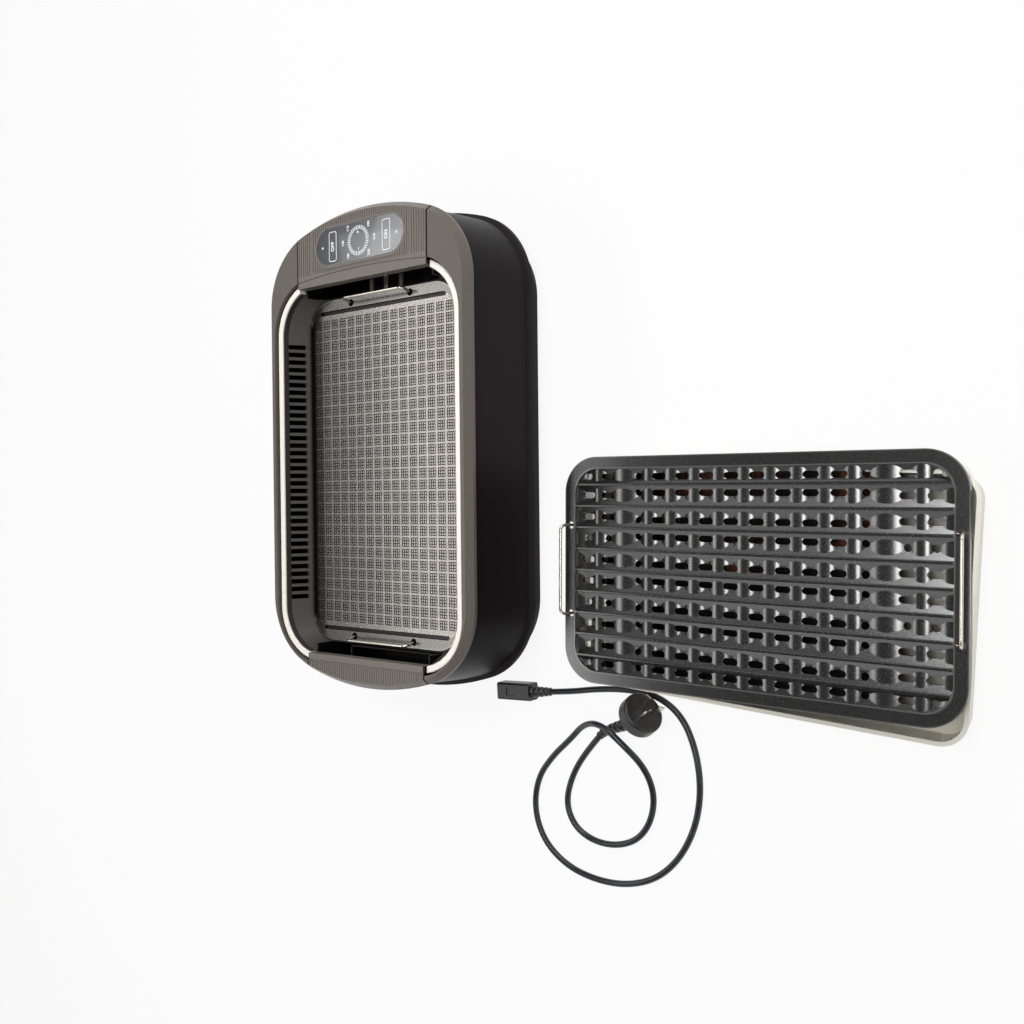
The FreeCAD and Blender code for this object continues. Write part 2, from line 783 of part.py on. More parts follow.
def left_inner_panel():
    panel = end_panel(-1, left_panel_x, left_half_width - end_panel_clearance)
    holes = [Part.makeCylinder(clip_radius + clip_hole_room, far, V(left_panel_x - far / 2, y, element_z),
                               V(1, 0, 0)) for y in (-clip_half_length, clip_half_length)]
    return panel.cut(holes)


# Heater

def terminal_end_x():
    """Where the heater's ends and the probe stop inside the terminal block."""
    return control_panel_x + end_panel_wall + terminal_block_size[0] - terminal_wall


def heating_element():
    end_x = terminal_end_x()
    outer = element_outer_y
    inner = element_inner_y
    turn = (outer - inner) / 2
    step = end_x - element_step
    points = [V(end_x, terminal_offset_y, 0), V(step, terminal_offset_y, 0), V(element_right_x, outer, 0),
              V(element_left_x - turn, outer, 0), V(element_left_x - turn, inner, 0),
              V(element_turn_x + inner, inner, 0)]
    radii = [element_bend, element_bend, turn, turn, inner]
    back = [V(p.x, -p.y, 0) for p in reversed(points)]
    route = [p + V(0, 0, element_z) for p in points + back]
    radii = [r - bend_shrink for r in radii + list(reversed(radii))]
    return tube_along(path_through(route, radii), element_radius)


def element_supports():
    half = plate_half_width - ledge_width
    top = element_z - element_radius
    bars = []
    for x in support_x:
        bar = block(x - support_width / 2, x + support_width / 2, -half, half, top - support_height, top)
        bars.append(bar)
    return Part.makeCompound(bars)


def terminal_block():
    deep, wide, tall = terminal_block_size
    x0 = control_panel_x + end_panel_wall
    body = block(x0, x0 + deep, -wide / 2, wide / 2, element_z - tall / 2, element_z + tall / 2)
    depth = deep - terminal_wall
    holes = [Part.makeCylinder(element_radius, depth, V(x0, y, element_z), V(1, 0, 0))
             for y in (-terminal_offset_y, terminal_offset_y)]
    holes.append(Part.makeCylinder(probe_radius, depth, V(x0, 0, element_z), V(1, 0, 0)))
    return body.cut(holes)


def thermostat_probe():
    x0 = plate_centre_x + plate_half_length - probe_reach
    stem = Part.makeCylinder(probe_radius, terminal_end_x() - x0, V(x0, 0, element_z), V(1, 0, 0))
    tip = [e for e in stem.Edges if e.BoundBox.XMax < x0 + 0.01]
    return stem.makeFillet(probe_tip_radius, tip)


def plate_spring_clip():
    """Bent spring wire across the left end that steadies the plate."""
    wall = left_panel_x - end_panel_wall
    rod_x = plate_centre_x - plate_half_length - clip_stand_off
    half = clip_half_length
    points = [V(wall, -half, element_z), V(rod_x, -half, element_z), V(rod_x, half, element_z),
              V(wall, half, element_z)]
    return tube_along(path_through(points, [clip_bend, clip_bend]), clip_radius)


# Plates

def handle_pocket(side, y, side_room):
    """Room under the flange for a bail's hooked foot to swing."""
    inner = plate_centre_x + side * (handle_from_centre - handle_foot_length - side_room)
    outer = plate_centre_x + side * (plate_half_length + end_gap)
    top = plate_top_z - plate_flange
    half = handle_pocket_width / 2
    return block(min(inner, outer), max(inner, outer), y - half, y + half, top - handle_pocket_depth, top)


def plate_blank():
    """Flange, body and the step between them, shared by both plates."""
    flange = prism(plate_rect(0, plate_top_z - plate_flange), plate_flange)
    inset = ledge_width + plate_seat_clearance
    body = prism(plate_rect(-inset, plate_top_z - plate_depth), plate_depth)
    holes = []
    for side in (-1, 1):
        x = plate_centre_x + side * handle_from_centre
        for y in bail_foot_places():
            holes.append(Part.makeCylinder(handle_hole_radius, plate_depth + 2 * far,
                                           V(x, y, plate_top_z - plate_depth - far)))
            holes.append(handle_pocket(side, y, handle_pocket_room))
    return fuse([flange, body]).cut(holes)


def oblong(half_x, half_y, z, x, y):
    """Solid cutter upwards from z with half-round ends along its longer side."""
    radius = min(half_x, half_y) * 0.999
    return prism(rounded_rect(half_x, half_y, radius, z, x, y), far)


def griddle_cells(floor_z):
    """Rows of shallow square cells over the griddle's sunk land."""
    cells = []
    half = cell_size / 2
    for column in range(cell_columns):
        x = plate_centre_x + (column - (cell_columns - 1) / 2) * cell_pitch_x
        for row in range(cell_rows):
            y = (row - (cell_rows - 1) / 2) * cell_pitch_y
            corner = abs(x - plate_centre_x) > end_gutter_x - far and abs(y) > end_gutter_half_length
            if not corner:
                cells.append(block(x - half, x + half, y - half, y + half, floor_z, floor_z + far))
    return cells


def griddle_plate():
    plate = plate_blank()
    land_z = plate_top_z - land_drop
    land = rounded_rect(end_gutter_x + end_gutter_width / 2, plate_half_width - land_margin,
                        plate_corner_radius - land_corner_inset, land_z, plate_centre_x)
    cutters = [prism(land, far)]
    gutter_z = land_z - gutter_depth
    for side in (-1, 1):
        cutters.append(oblong(end_gutter_width / 2, end_gutter_half_length, gutter_z,
                              plate_centre_x + side * end_gutter_x, 0.0))
        cutters.append(oblong(side_gutter_half_length, side_gutter_width / 2, gutter_z, plate_centre_x,
                              side * side_gutter_y))
    return plate.cut(cutters + griddle_cells(land_z - cell_depth))


def bail_handle(side):
    """Bent wire bail of one plate end, leaning outwards against its stop."""
    pivot_x = plate_centre_x + side * handle_from_centre
    pivot_z = plate_top_z - plate_flange / 2
    half = handle_spacing / 2
    lean = math.radians(handle_lean_deg)
    drop = plate_flange / 2 + handle_foot_gap + wire_radius

    def leg(up):
        return V(side * up * math.sin(lean), 0, up * math.cos(lean))

    def foot_end():
        low = leg(-drop / math.cos(lean))
        return V(low.x - side * handle_foot_length, 0, -drop)

    base = V(pivot_x, 0, pivot_z)
    low = leg(-drop / math.cos(lean))
    high = leg(handle_height)
    near = V(0, half, 0)
    points = [base + foot_end() - near, base + low - near, base + high - near,
              base + high + near, base + low + near, base + foot_end() + near]
    radii = [handle_foot_bend, handle_bend, handle_bend, handle_foot_bend]
    return tube_along(path_through(points, radii), wire_radius)


def spare(shape):
    """Moves a plate piece from its place in the grill to the spare place on the drip tray."""
    moved = shape.copy()
    moved.translate(V(-plate_centre_x, 0, tray_height - (plate_top_z - plate_depth)))
    moved.rotate(V(0, 0, 0), V(0, 0, 1), spare_turn_deg)
    moved.translate(V(spare_centre[0], spare_centre[1], 0))
    return moved


def ridge_half_size():
    """Half length and half width of the ridged face inside the plate's flat rim."""
    return plate_half_length - ridge_frame_width, plate_half_width - ridge_frame_width


def hole_rows():
    """Distances along the plate of the rows of slots and holes, from its middle, on one side."""
    face = ridge_half_size()[0]
    last = face - round_row_inset
    count = int((last - slot_pitch / 2) / slot_pitch + 0.3)
    slots = [(number + 0.5) * slot_pitch for number in range(count)]
    return slots, last, [face - inner_end_row_inset, face - outer_end_row_inset]


def channel_places():
    """Middle of each channel and how far its slots are moved towards the nearest paired bar."""
    places = []
    for number in range(bars_per_side):
        middle = (number + 0.5) * bar_pitch
        shift = slot_offset if number % 2 else -slot_offset
        places.append((middle, shift))
    outermost = (bars_per_side + 0.5) * bar_pitch - outer_channel_shift
    places.append((outermost, 0.0))
    return [(side * y, side * shift) for side in (-1, 1) for y, shift in places]


def bars_and_slopes():
    """Cross-section of the bars and the V channels between them, run along the plate."""
    face_x, face_y = ridge_half_size()
    top = plate_top_z - bar_drop
    foot = top - bar_height
    valley = foot - channel_depth
    base = plate_top_z - plate_depth
    outer_valley = (bars_per_side + 0.5) * bar_pitch - outer_channel_shift
    slope = channel_depth / (bar_pitch / 2 - bar_half_width)
    rim_height = min(foot, valley + slope * (face_y - outer_valley))
    half = []
    for number in range(bars_per_side + 1):
        y = number * bar_pitch
        half += [(y - bar_half_width, foot), (y - bar_top_half_width - bar_chamfer, top - bar_chamfer),
                 (y - bar_top_half_width, top), (y + bar_top_half_width, top),
                 (y + bar_top_half_width + bar_chamfer, top - bar_chamfer), (y + bar_half_width, foot)]
        half.append((y + bar_pitch / 2 if number < bars_per_side else outer_valley, valley))
    right = [(y, z) for y, z in half if y > 0] + [(face_y + past, rim_height)]
    outline = [(-y, z) for y, z in reversed(right)] + right
    outline += [(face_y + past, base), (-face_y - past, base)]
    start = plate_centre_x - face_x - past
    points = [V(start, y, z) for y, z in outline]
    return Part.Face(Part.makePolygon(points + points[:1])).extrude(V(2 * (face_x + past), 0, 0))


def humps():
    """Round humps across all channels, each from one row of holes to the next, as one waved slab."""
    face_x, face_y = ridge_half_size()
    slots, round_row, end_rows = hole_rows()
    rows = [-x for x in reversed(end_rows)] + [-round_row] + [-x for x in reversed(slots)]
    rows += slots + [round_row] + end_rows
    low = plate_top_z - bar_drop - bar_height - channel_depth
    high = low + hump_height
    edges = []
    first = V(plate_centre_x - 2 * face_x - rows[0], -face_y - past, low)
    start = first
    for x in rows + [2 * face_x - rows[-1]]:
        end = V(plate_centre_x + x, start.y, low)
        crest = V((start.x + end.x) / 2, start.y, high)
        edges.append(Part.Arc(start, crest, end).toShape())
        start = end
    base = plate_top_z - plate_depth
    corner = V(start.x, start.y, base)
    other = V(first.x, first.y, base)
    edges += [Part.LineSegment(start, corner).toShape(), Part.LineSegment(corner, other).toShape(),
              Part.LineSegment(other, first).toShape()]
    return Part.Face(Part.Wire(edges)).extrude(V(0, 2 * (face_y + past), 0))


def ridge_holes():
    """Slots under the food, round holes beside the long humps and in two channels of the end rows."""
    slots, round_row, end_rows = hole_rows()
    base = plate_top_z - plate_depth - past
    round_channels = (-1.5 * bar_pitch, 1.5 * bar_pitch)
    outermost = bars_per_side * bar_pitch
    holes = []
    for side in (-1, 1):
        for y, shift in channel_places():
            for x in slots:
                holes.append(oblong(slot_length / 2, slot_width / 2, base, plate_centre_x + side * x, y + shift))
            holes.append(Part.makeCylinder(hole_radius, far, V(plate_centre_x + side * round_row, y + shift, base)))
            for x in end_rows:
                corner = x == end_rows[-1] and abs(y) > outermost
                if y in round_channels or corner:
                    holes.append(Part.makeCylinder(hole_radius, far, V(plate_centre_x + side * x, y, base)))
                else:
                    holes.append(oblong(slot_length / 2, slot_width / 2, base, plate_centre_x + side * x, y))
    return holes


def grill_plate():
    """Slotted plate: narrow bars, sloping channels, humps across them, and slots at the low places."""
    plate = plate_blank()
    face_x, face_y = ridge_half_size()
    opening = prism(rounded_rect(face_x, face_y, ridge_corner_radius, plate_top_z - plate_depth, plate_centre_x),
                    plate_depth)
    ridged = bars_and_slopes().fuse(humps()).common(opening)
    return plate.cut(opening).fuse(ridged).removeSplitter().cut(ridge_holes())


# Fan

def fan_motor():
    floor = pan_bottom_z + casing_wall
    can = Part.makeCylinder(motor_radius, motor_height, V(fan_x, 0, floor))
    collar = Part.makeCylinder(motor_collar_radius, motor_collar_height, V(fan_x, 0, floor + motor_height))
    bore = Part.makeCylinder(shaft_radius + shaft_clearance, tall, V(fan_x, 0, floor + motor_base))
    return can.fuse(collar).cut(bore)


def fan_shaft():
    floor = pan_bottom_z + casing_wall + motor_base + shaft_end_gap
    top = fan_disc_z + fan_blade_height
    return Part.makeCylinder(shaft_radius, top - floor, V(fan_x, 0, floor))


def fan_rotor():
    disc = Part.makeCylinder(fan_radius, fan_disc_thickness, V(fan_x, 0, fan_disc_z))
    hub = Part.makeCylinder(fan_hub_radius, fan_hub_height, V(fan_x, 0, fan_disc_z))
    outer = fan_x + fan_radius - past
    half = fan_blade_thickness / 2
    blades = []
    for number in range(fan_blades):
        blade = block(outer - fan_blade_length, outer, -half, half, fan_disc_z + fan_disc_thickness,
                      fan_disc_z + fan_blade_height)
        blade.rotate(V(outer - fan_blade_length / 2, 0, 0), V(0, 0, 1), fan_blade_turn)
        blade.rotate(V(fan_x, 0, 0), V(0, 0, 1), number * 360.0 / fan_blades)
        blades.append(blade)
    rotor = fuse([disc, hub] + blades)
    return rotor.cut(Part.makeCylinder(shaft_radius, tall, V(fan_x, 0, 0)))


def fan_shroud():
    floor = pan_bottom_z + casing_wall
    height = well_floor_z - liner_wall - floor - shroud_top_gap
    outside = Part.makeCylinder(shroud_radius + shroud_wall, height, V(fan_x, 0, floor))
    inside = Part.makeCylinder(shroud_radius, height, V(fan_x, 0, floor))
    return outside.cut(inside)


def power_board():
    top = ring_bottom_z
    return block(power_board_x, power_board_x + board_size[0], -board_size[1] / 2, board_size[1] / 2,
                 top - board_thickness, top)


def board_posts():
    floor = pan_bottom_z + casing_wall
    posts = []
    for x in (power_board_x + post_inset, power_board_x + board_size[0] - post_inset):
        for y in (post_inset - board_size[1] / 2, board_size[1] / 2 - post_inset):
            posts.append(Part.makeCylinder(post_radius, ring_bottom_z - board_thickness - floor, V(x, y, floor)))
    return Part.makeCompound(posts)


# Inlet

def inlet_face_y():
    """Where the inlet's flange seats: the casing's surface at the flange's lower edge."""
    low = inlet_z - inlet_half_height() - inlet_flange
    return body_half_width + casing_bottom_flare - casing_taper() * (low - casing_bottom_z) + inlet_seat


def inlet_half_width():
    return connector_width / 2 + connector_clearance + inlet_wall


def inlet_half_height():
    return connector_height / 2 + connector_clearance + inlet_wall


def power_inlet():
    """Recessed socket with a flange outside the casing."""
    face = inlet_face_y()
    half_w = inlet_half_width()
    half_h = inlet_half_height()
    out_w = half_w + inlet_flange
    out_h = half_h + inlet_flange
    in_w = half_w - inlet_wall
    in_h = half_h - inlet_wall
    flange = block(inlet_x - out_w, inlet_x + out_w, face - inlet_seat, face + inlet_flange_proud,
                   inlet_z - out_h, inlet_z + out_h)
    body = block(inlet_x - half_w, inlet_x + half_w, face - inlet_depth - inlet_back, face, inlet_z - half_h,
                 inlet_z + half_h)
    room = block(inlet_x - in_w, inlet_x + in_w, face - inlet_depth, face + far, inlet_z - in_h, inlet_z + in_h)
    return fuse([flange, body]).cut(room)


def inlet_pin_places():
    half = inlet_pin_spread / 2
    return [(-half, -inlet_low_pin_drop), (half, -inlet_low_pin_drop), (0.0, inlet_top_pin_rise)]


def inlet_pins():
    face = inlet_face_y()
    pins = []
    length = inlet_depth - inlet_pin_gap
    for x, z in inlet_pin_places():
        base = V(inlet_x + x, face - inlet_depth, inlet_z + z)
        pins.append(Part.makeCylinder(inlet_pin_radius, length, base, V(0, 1, 0)))
    return Part.makeCompound(pins)


# Mains lead

def cord_tube():
    points = [V(*p) for p in cord_route]
    radii = []
    for before, corner, after in zip(points, points[1:], points[2:]):
        shorter = min((corner - before).Length, (after - corner).Length)
        turn = (corner - before).getAngle(after - corner)
        radii.append(cord_bend_share * shorter / math.tan(turn / 2))
    path = path_through(points, radii)
    tube = tube_along(path, cord_radius)
    section = math.pi * cord_radius ** 2
    print("lead: tightest bend", round(min(radii), 1), "length", round(path.Length, 1), "volume ratio",
          round(tube.Volume / (section * path.Length), 5))
    return tube


def plug_place(shape):
    """Turns a piece modelled along +Z at the origin to the plug's place on the table."""
    axis = V(*plug_axis).normalize()
    shape.Placement = FreeCAD.Placement(V(*plug_centre), FreeCAD.Rotation(V(0, 0, 1), axis)).multiply(
        shape.Placement)
    return shape


def plug_body():
    body = Part.makeCylinder(plug_radius, plug_thickness, V(0, 0, -plug_thickness / 2))
    edges = [e for e in body.Edges if e.BoundBox.XLength > 1.9 * plug_radius]
    body = body.makeFillet(plug_edge_radius, edges)
    neck = Part.makeCylinder(plug_boot_start_radius + plug_neck_room, plug_neck_length,
                             V(0, 0, -plug_thickness / 2 - plug_neck_out))
    return plug_place(body.fuse(neck).removeSplitter())


def plug_pins():
    pins = []
    half_t = plug_pin_thickness / 2
    half_w = plug_pin_width / 2
    face = plug_thickness / 2
    for x, y, turn in plug_pin_places:
        pin = block(-half_t, half_t, -half_w, half_w, face, face + plug_pin_length)
        pin.rotate(V(0, 0, 0), V(0, 0, 1), turn)
        pin.translate(V(x, y, 0))
        pins.append(plug_place(pin))
    return Part.makeCompound(pins)


def tapered_boot(start, first, second, end, radii, steps):
    """Strain relief that tapers along the smooth curve from start to end, drawn by first and second."""
    wires = []
    for number in range(steps + 1):
        t = number / steps
        u = 1 - t
        point = start * u ** 3 + first * (3 * u * u * t) + second * (3 * u * t * t) + end * t ** 3
        slope = (first - start) * (u * u) + (second - first) * (2 * u * t) + (end - second) * (t * t)
        radius = radii[0] * u + radii[1] * t
        wires.append(Part.Wire([Part.Circle(point, slope, radius).toShape()]))
    return Part.makeLoft(wires, True, False)


def plug_boot():
    """Bent, tapered strain relief from the back of the plug down to the lead."""
    axis = V(*plug_axis).normalize()
    start = V(*plug_centre) - axis * (plug_thickness / 2 + plug_neck_out)
    end = V(*cord_route[0])
    out = (V(*cord_route[1]) - end).normalize()
    first = start - axis * plug_boot_lead_out[0]
    second = end - out * plug_boot_lead_out[1]
    return tapered_boot(start, first, second, end, (plug_boot_start_radius, plug_boot_end_radius), plug_boot_steps)


def connector_place(shape):
    """Moves a piece modelled along +X to the connector's place on the table."""
    shape.rotate(V(0, 0, 0), V(0, 0, 1), connector_turn_deg)
    shape.translate(V(connector_centre[0], connector_centre[1], 0))
    return shape


def cord_connector():
    half_l = connector_length / 2
    half_w = connector_width / 2
    body = block(-half_l, half_l, -half_w, half_w, 0, connector_height)
    edges = [e for e in body.Edges if e.BoundBox.XLength > 0.9 * connector_length]
    body = body.makeFillet(connector_edge_radius, edges)
    half_x = connector_recess[0] / 2
    half_y = connector_recess[1] / 2
    recess = block(connector_recess_shift - half_x, connector_recess_shift + half_x, -half_y, half_y,
                   connector_height - connector_recess[2], connector_height + past)
    holes = []
    for y, z in inlet_pin_places():
        low = V(half_l - connector_hole_depth, y, connector_height / 2 + z)
        holes.append(Part.makeCylinder(inlet_pin_radius + connector_hole_room, far + connector_hole_depth, low,
                                       V(1, 0, 0)))
    return connector_place(body.cut([recess] + holes))


def connector_boot():
    """Tapered strain relief from the connector down to the lead's end."""
    angle = math.radians(connector_turn_deg)
    back_way = V(-math.cos(angle), -math.sin(angle), 0)
    middle = V(connector_centre[0], connector_centre[1], connector_height / 2)
    start = middle + back_way * (connector_length / 2)
    end = V(*cord_route[-1])
    out = (V(*cord_route[-2]) - end).normalize()
    reach = (end - start).Length / 3
    radii = (connector_boot_start_radius, connector_boot_end_radius)
    return tapered_boot(start, start + back_way * reach, end - out * reach, end, radii, connector_boot_steps)


# Drip tray

def drip_tray():
    low = rounded_rect(tray_half_length - tray_draft, tray_half_width - tray_draft,
                       tray_corner_radius - tray_draft, 0)
    high = rounded_rect(tray_half_length - tray_rim, tray_half_width - tray_rim, tray_corner_radius - tray_rim,
                        tray_height)
    low_step = tray_draft + tray_wall
    high_step = tray_rim + tray_wall
    low_in = rounded_rect(tray_half_length - low_step, tray_half_width - low_step, tray_corner_radius - low_step,
                          tray_wall)
    high_in = rounded_rect(tray_half_length - high_step, tray_half_width - high_step,
                           tray_corner_radius - high_step, tray_height + past / 100)
    rim = prism(rounded_rect(tray_half_length, tray_half_width, tray_corner_radius, tray_height - tray_rim_height),
                tray_rim_height)
    tray = fuse([frustum(low, high), rim]).cut(frustum(low_in, high_in))
    tray.rotate(V(0, 0, 0), V(0, 0, 1), tray_turn_deg)
    tray.translate(V(tray_centre[0], tray_centre[1], 0))
    return tray


def main():
    os.makedirs("parts", exist_ok=True)
    block_solid = rim_block()
    cavity = rim_cavity()
    front, back = bezels(block_solid, cavity)
    write("bezel_front", front)
    write("bezel_back", back)
    front, back = trims()
    write("trim_front", front)
    write("trim_back", back)
    write("control_housing", control_housing(block_solid, cavity))
    write("control_cover", control_cover(block_solid))
    write("control_glass", control_glass())
    write("touch_board", touch_board())
    write("left_end_housing", left_end_housing(block_solid, cavity))
    write("outer_shell", outer_shell())
    write("base_ring", base_ring())
    write("bottom_pan", bottom_pan())
    write("rubber_feet", feet())
    write("base_screws", base_screws())
    write("inner_liner", inner_liner())
    write("lower_well", lower_well())
    write("right_inner_panel", right_inner_panel())
    write("left_inner_panel", left_inner_panel())
    write("heating_element", heating_element())
    write("element_supports", element_supports())
    write("terminal_block", terminal_block())
    write("thermostat_probe", thermostat_probe())
    write("plate_spring_clip", plate_spring_clip())
    write("griddle_plate", griddle_plate())
    write("griddle_handle_left", bail_handle(-1))
    write("griddle_handle_right", bail_handle(1))
    write("grill_plate", spare(grill_plate()))
    write("grill_handle_near", spare(bail_handle(-1)))
    write("grill_handle_far", spare(bail_handle(1)))
    write("drip_tray", drip_tray())
    write("fan_motor", fan_motor())
    write("fan_shaft", fan_shaft())
    write("fan_rotor", fan_rotor())
    write("fan_shroud", fan_shroud())
    write("power_board", power_board())
    write("board_posts", board_posts())
    write("power_inlet", power_inlet())
    write("inlet_pins", inlet_pins())
    write("power_cord", cord_tube())
    write("plug_body", plug_body())
    write("plug_pins", plug_pins())
    write("plug_boot", plug_boot())
    write("cord_connector", cord_connector())
    write("connector_boot", connector_boot())


main()
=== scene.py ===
import math
import bpy
import numpy as np
from mathutils import Matrix, Vector


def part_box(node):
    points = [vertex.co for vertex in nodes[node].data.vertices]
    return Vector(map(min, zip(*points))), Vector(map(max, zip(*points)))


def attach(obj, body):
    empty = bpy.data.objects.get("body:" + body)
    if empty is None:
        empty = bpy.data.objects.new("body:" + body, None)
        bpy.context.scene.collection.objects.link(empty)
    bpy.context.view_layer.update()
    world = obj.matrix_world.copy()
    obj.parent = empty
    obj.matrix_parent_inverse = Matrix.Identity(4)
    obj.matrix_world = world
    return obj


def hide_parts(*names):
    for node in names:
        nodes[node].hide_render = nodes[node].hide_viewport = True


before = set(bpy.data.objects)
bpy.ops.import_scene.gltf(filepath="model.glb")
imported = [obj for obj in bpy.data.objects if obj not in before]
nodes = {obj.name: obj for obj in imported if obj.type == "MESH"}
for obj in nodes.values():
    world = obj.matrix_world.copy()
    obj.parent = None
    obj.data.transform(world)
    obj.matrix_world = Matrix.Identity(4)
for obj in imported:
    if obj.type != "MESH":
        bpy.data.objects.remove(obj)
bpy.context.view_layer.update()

# Studio: the photograph looks down on the grill from the cook's side and stands on its side, so the
# camera is turned a quarter. A window hangs behind the grill, a soft light over the spare plate and
# one at the panel's side. The table is pale; the room is white low down and dim to its ceiling.
CAMERA_PITCH = 0.9191               # down from level, in radians
CAMERA_YAW = -0.0153
CAMERA_ROLL = -0.0225
CAMERA_PLACE = (-0.06103, -0.79019, 0.89888)
CAMERA_LENS = 35.38
CAMERA_REACH = 20.0
SENSOR = 36.0
WHITE = (1.0, 1.0, 1.0, 1.0)
TABLE_HALF = 6.0
TABLE_GREY = (0.86, 0.86, 0.86, 1.0)
TABLE_WHITENED = 0.9                # how far the table is lifted to the photograph's white ground
SHADE_MIDDLE = (-0.1327, -0.3867)   # the shade under the spare plate, where it isn't lifted
SHADE_HALF = (0.204, 0.112)
SHADE_CORNER = 0.03
SHADE_BLEND = 0.008
SPARE_TURN = math.radians(89.2)     # how far the spare plate on the table is turned
ROOM_STRENGTH = 0.26
CEILING_IN_GLOSS = 0.13
CEILING_FROM = 0.52                 # sine of the height at which the room turns dim for gloss
CEILING_BLEND = 0.24


def photo_camera():
    """Direction of view from pitch and yaw, then the picture's up and right turned by the roll."""
    forward = Vector((math.sin(CAMERA_YAW) * math.cos(CAMERA_PITCH),
                      math.cos(CAMERA_YAW) * math.cos(CAMERA_PITCH), -math.sin(CAMERA_PITCH)))
    level = Vector((math.cos(CAMERA_YAW), -math.sin(CAMERA_YAW), 0.0))
    above = level.cross(forward)
    picture_up = math.cos(CAMERA_ROLL) * level + math.sin(CAMERA_ROLL) * above
    picture_left = -math.sin(CAMERA_ROLL) * level + math.cos(CAMERA_ROLL) * above
    turn = Matrix((-picture_left, picture_up, -forward)).transposed()
    data = bpy.data.cameras.new("photo_camera")
    data.lens = CAMERA_LENS
    data.sensor_width = SENSOR
    data.clip_end = CAMERA_REACH
    camera = bpy.data.objects.new("photo_camera", data)
    camera.matrix_world = Matrix.Translation(CAMERA_PLACE) @ turn.to_4x4()
    bpy.context.scene.collection.objects.link(camera)
    bpy.context.scene.camera = camera


class Value:
    """A value in a material. Arithmetic on it adds Math nodes and gives a new Value."""

    def __init__(self, finish, socket):
        self.finish = finish
        self.socket = socket

    def math(self, operation, *others, clamp=False):
        """One Math node, with this value first."""
        settings = {"operation": operation, "use_clamp": clamp}
        return self.finish.node("ShaderNodeMath", settings, dict(enumerate((self,) + others)))

    def __add__(self, other):
        return self.math("ADD", other)

    def __radd__(self, other):
        return self.math("ADD", other)

    def __sub__(self, other):
        return self.math("SUBTRACT", other)

    def __rsub__(self, other):
        return (self * -1.0) + other

    def __mul__(self, other):
        return self.math("MULTIPLY", other)

    def __rmul__(self, other):
        return self.math("MULTIPLY", other)

    def above(self, edge, blend):
        """0 below edge and 1 above it, by a smooth step that is blend wide."""
        return self.finish.node("ShaderNodeMapRange", {"interpolation_type": "SMOOTHSTEP"},
                                {0: self, 1: edge - blend / 2, 2: edge + blend / 2, 3: 0.0, 4: 1.0})


class Finish:
    """A material, or the room's world, whose nodes are added one by one."""

    def __init__(self, name, world=None):
        self.material = world or bpy.data.materials.new(name)
        self.material.use_nodes = True
        self.tree = self.material.node_tree
        self.tree.nodes.clear()

    def node(self, kind, settings=None, inputs=None, output=0):
        """Adds one node: its settings first, then the values or links of its sockets."""
        made = self.tree.nodes.new(kind)
        settings = dict(settings or {})
        stops = settings.pop("stops", None)
        for key, setting in settings.items():
            setattr(made, key, setting)
        if stops:
            ramp = made.color_ramp
            while len(ramp.elements) < len(stops):
                ramp.elements.new(0.5)
            for element, (place, colour) in zip(ramp.elements, stops):
                element.position = place
                element.color = colour
        for key, value in (inputs or {}).items():
            socket = made.inputs[key]
            if isinstance(value, Value):
                self.tree.links.new(value.socket, socket)
            else:
                socket.default_value = value
        return Value(self, made.outputs[output]) if len(made.outputs) else None

    def place(self, scale=None, turn=0.0):
        """Object coordinates in metres, turned about Z, times scale."""
        at = self.node("ShaderNodeTexCoord", output="Object")
        if turn:
            turned = {"Vector": at, "Rotation": (0.0, 0.0, -turn)}
            at = self.node("ShaderNodeMapping", None, turned)
        if scale:
            at = self.node("ShaderNodeMapping", None, {"Vector": at, "Scale": scale})
        return at

    def axes(self, turn=0.0):
        """The three object coordinates as separate values."""
        at = self.place(turn=turn)
        return [self.node("ShaderNodeSeparateXYZ", None, {0: at}, axis) for axis in range(3)]

    def noise(self, scale, detail=2.0, roughness=0.5, at=None):
        """Cloudy noise about 0.5, with scale waves to the metre, finer as detail goes up."""
        return self.node("ShaderNodeTexNoise", None, {"Vector": at or self.place(), "Scale": scale,
                                                      "Detail": detail, "Roughness": roughness})

    def mix(self, mask, first, second):
        """The first colour where the mask is 0, the second where it is 1."""
        return self.node("ShaderNodeMix", {"data_type": "RGBA"}, {0: mask, 6: first, 7: second}, 2)

    def bump(self, height, distance, strength):
        """A normal that leans as if the surface rose by distance where height goes from 0 to 1."""
        return self.node("ShaderNodeBump", None,
                         {"Height": height, "Distance": distance, "Strength": strength})

    def on_white_rays(self, share=1.0):
        """1 for rays from the camera, and share for rays off gloss and through glass, which see the
        pale ground too."""
        rays = [self.node("ShaderNodeLightPath", output=name)
                for name in ("Is Camera Ray", "Is Glossy Ray", "Is Transmission Ray")]
        return rays[0].math("ADD", (rays[1] + rays[2]) * share, clamp=True)

    def inside_edge(self, middle, half, corner, turn=0.0):
        """How far a point lies inside a rectangle with round corners: the corner's radius less the
        distance from the inner rectangle that the corners are rounded about."""
        x, y = self.axes(turn)[:2]
        cos, sin = math.cos(turn), math.sin(turn)
        middle = (middle[0] * cos + middle[1] * sin, middle[1] * cos - middle[0] * sin)
        past_x = (x - middle[0]).math("ABSOLUTE") - (half[0] - corner)
        past_y = (y - middle[1]).math("ABSOLUTE") - (half[1] - corner)
        out_x = past_x.math("MAXIMUM", 0.0)
        out_y = past_y.math("MAXIMUM", 0.0)
        within = past_x.math("MAXIMUM", past_y).math("MINIMUM", 0.0)
        return corner - ((out_x * out_x + out_y * out_y).math("SQRT") + within)

    def surface(self, **inputs):
        """Principled shader to the output; names use underscores for spaces."""
        shader = self.node("ShaderNodeBsdfPrincipled", None,
                           {key.replace("_", " "): value for key, value in inputs.items()})
        self.node("ShaderNodeOutputMaterial", None, {0: shader})
        return self.material


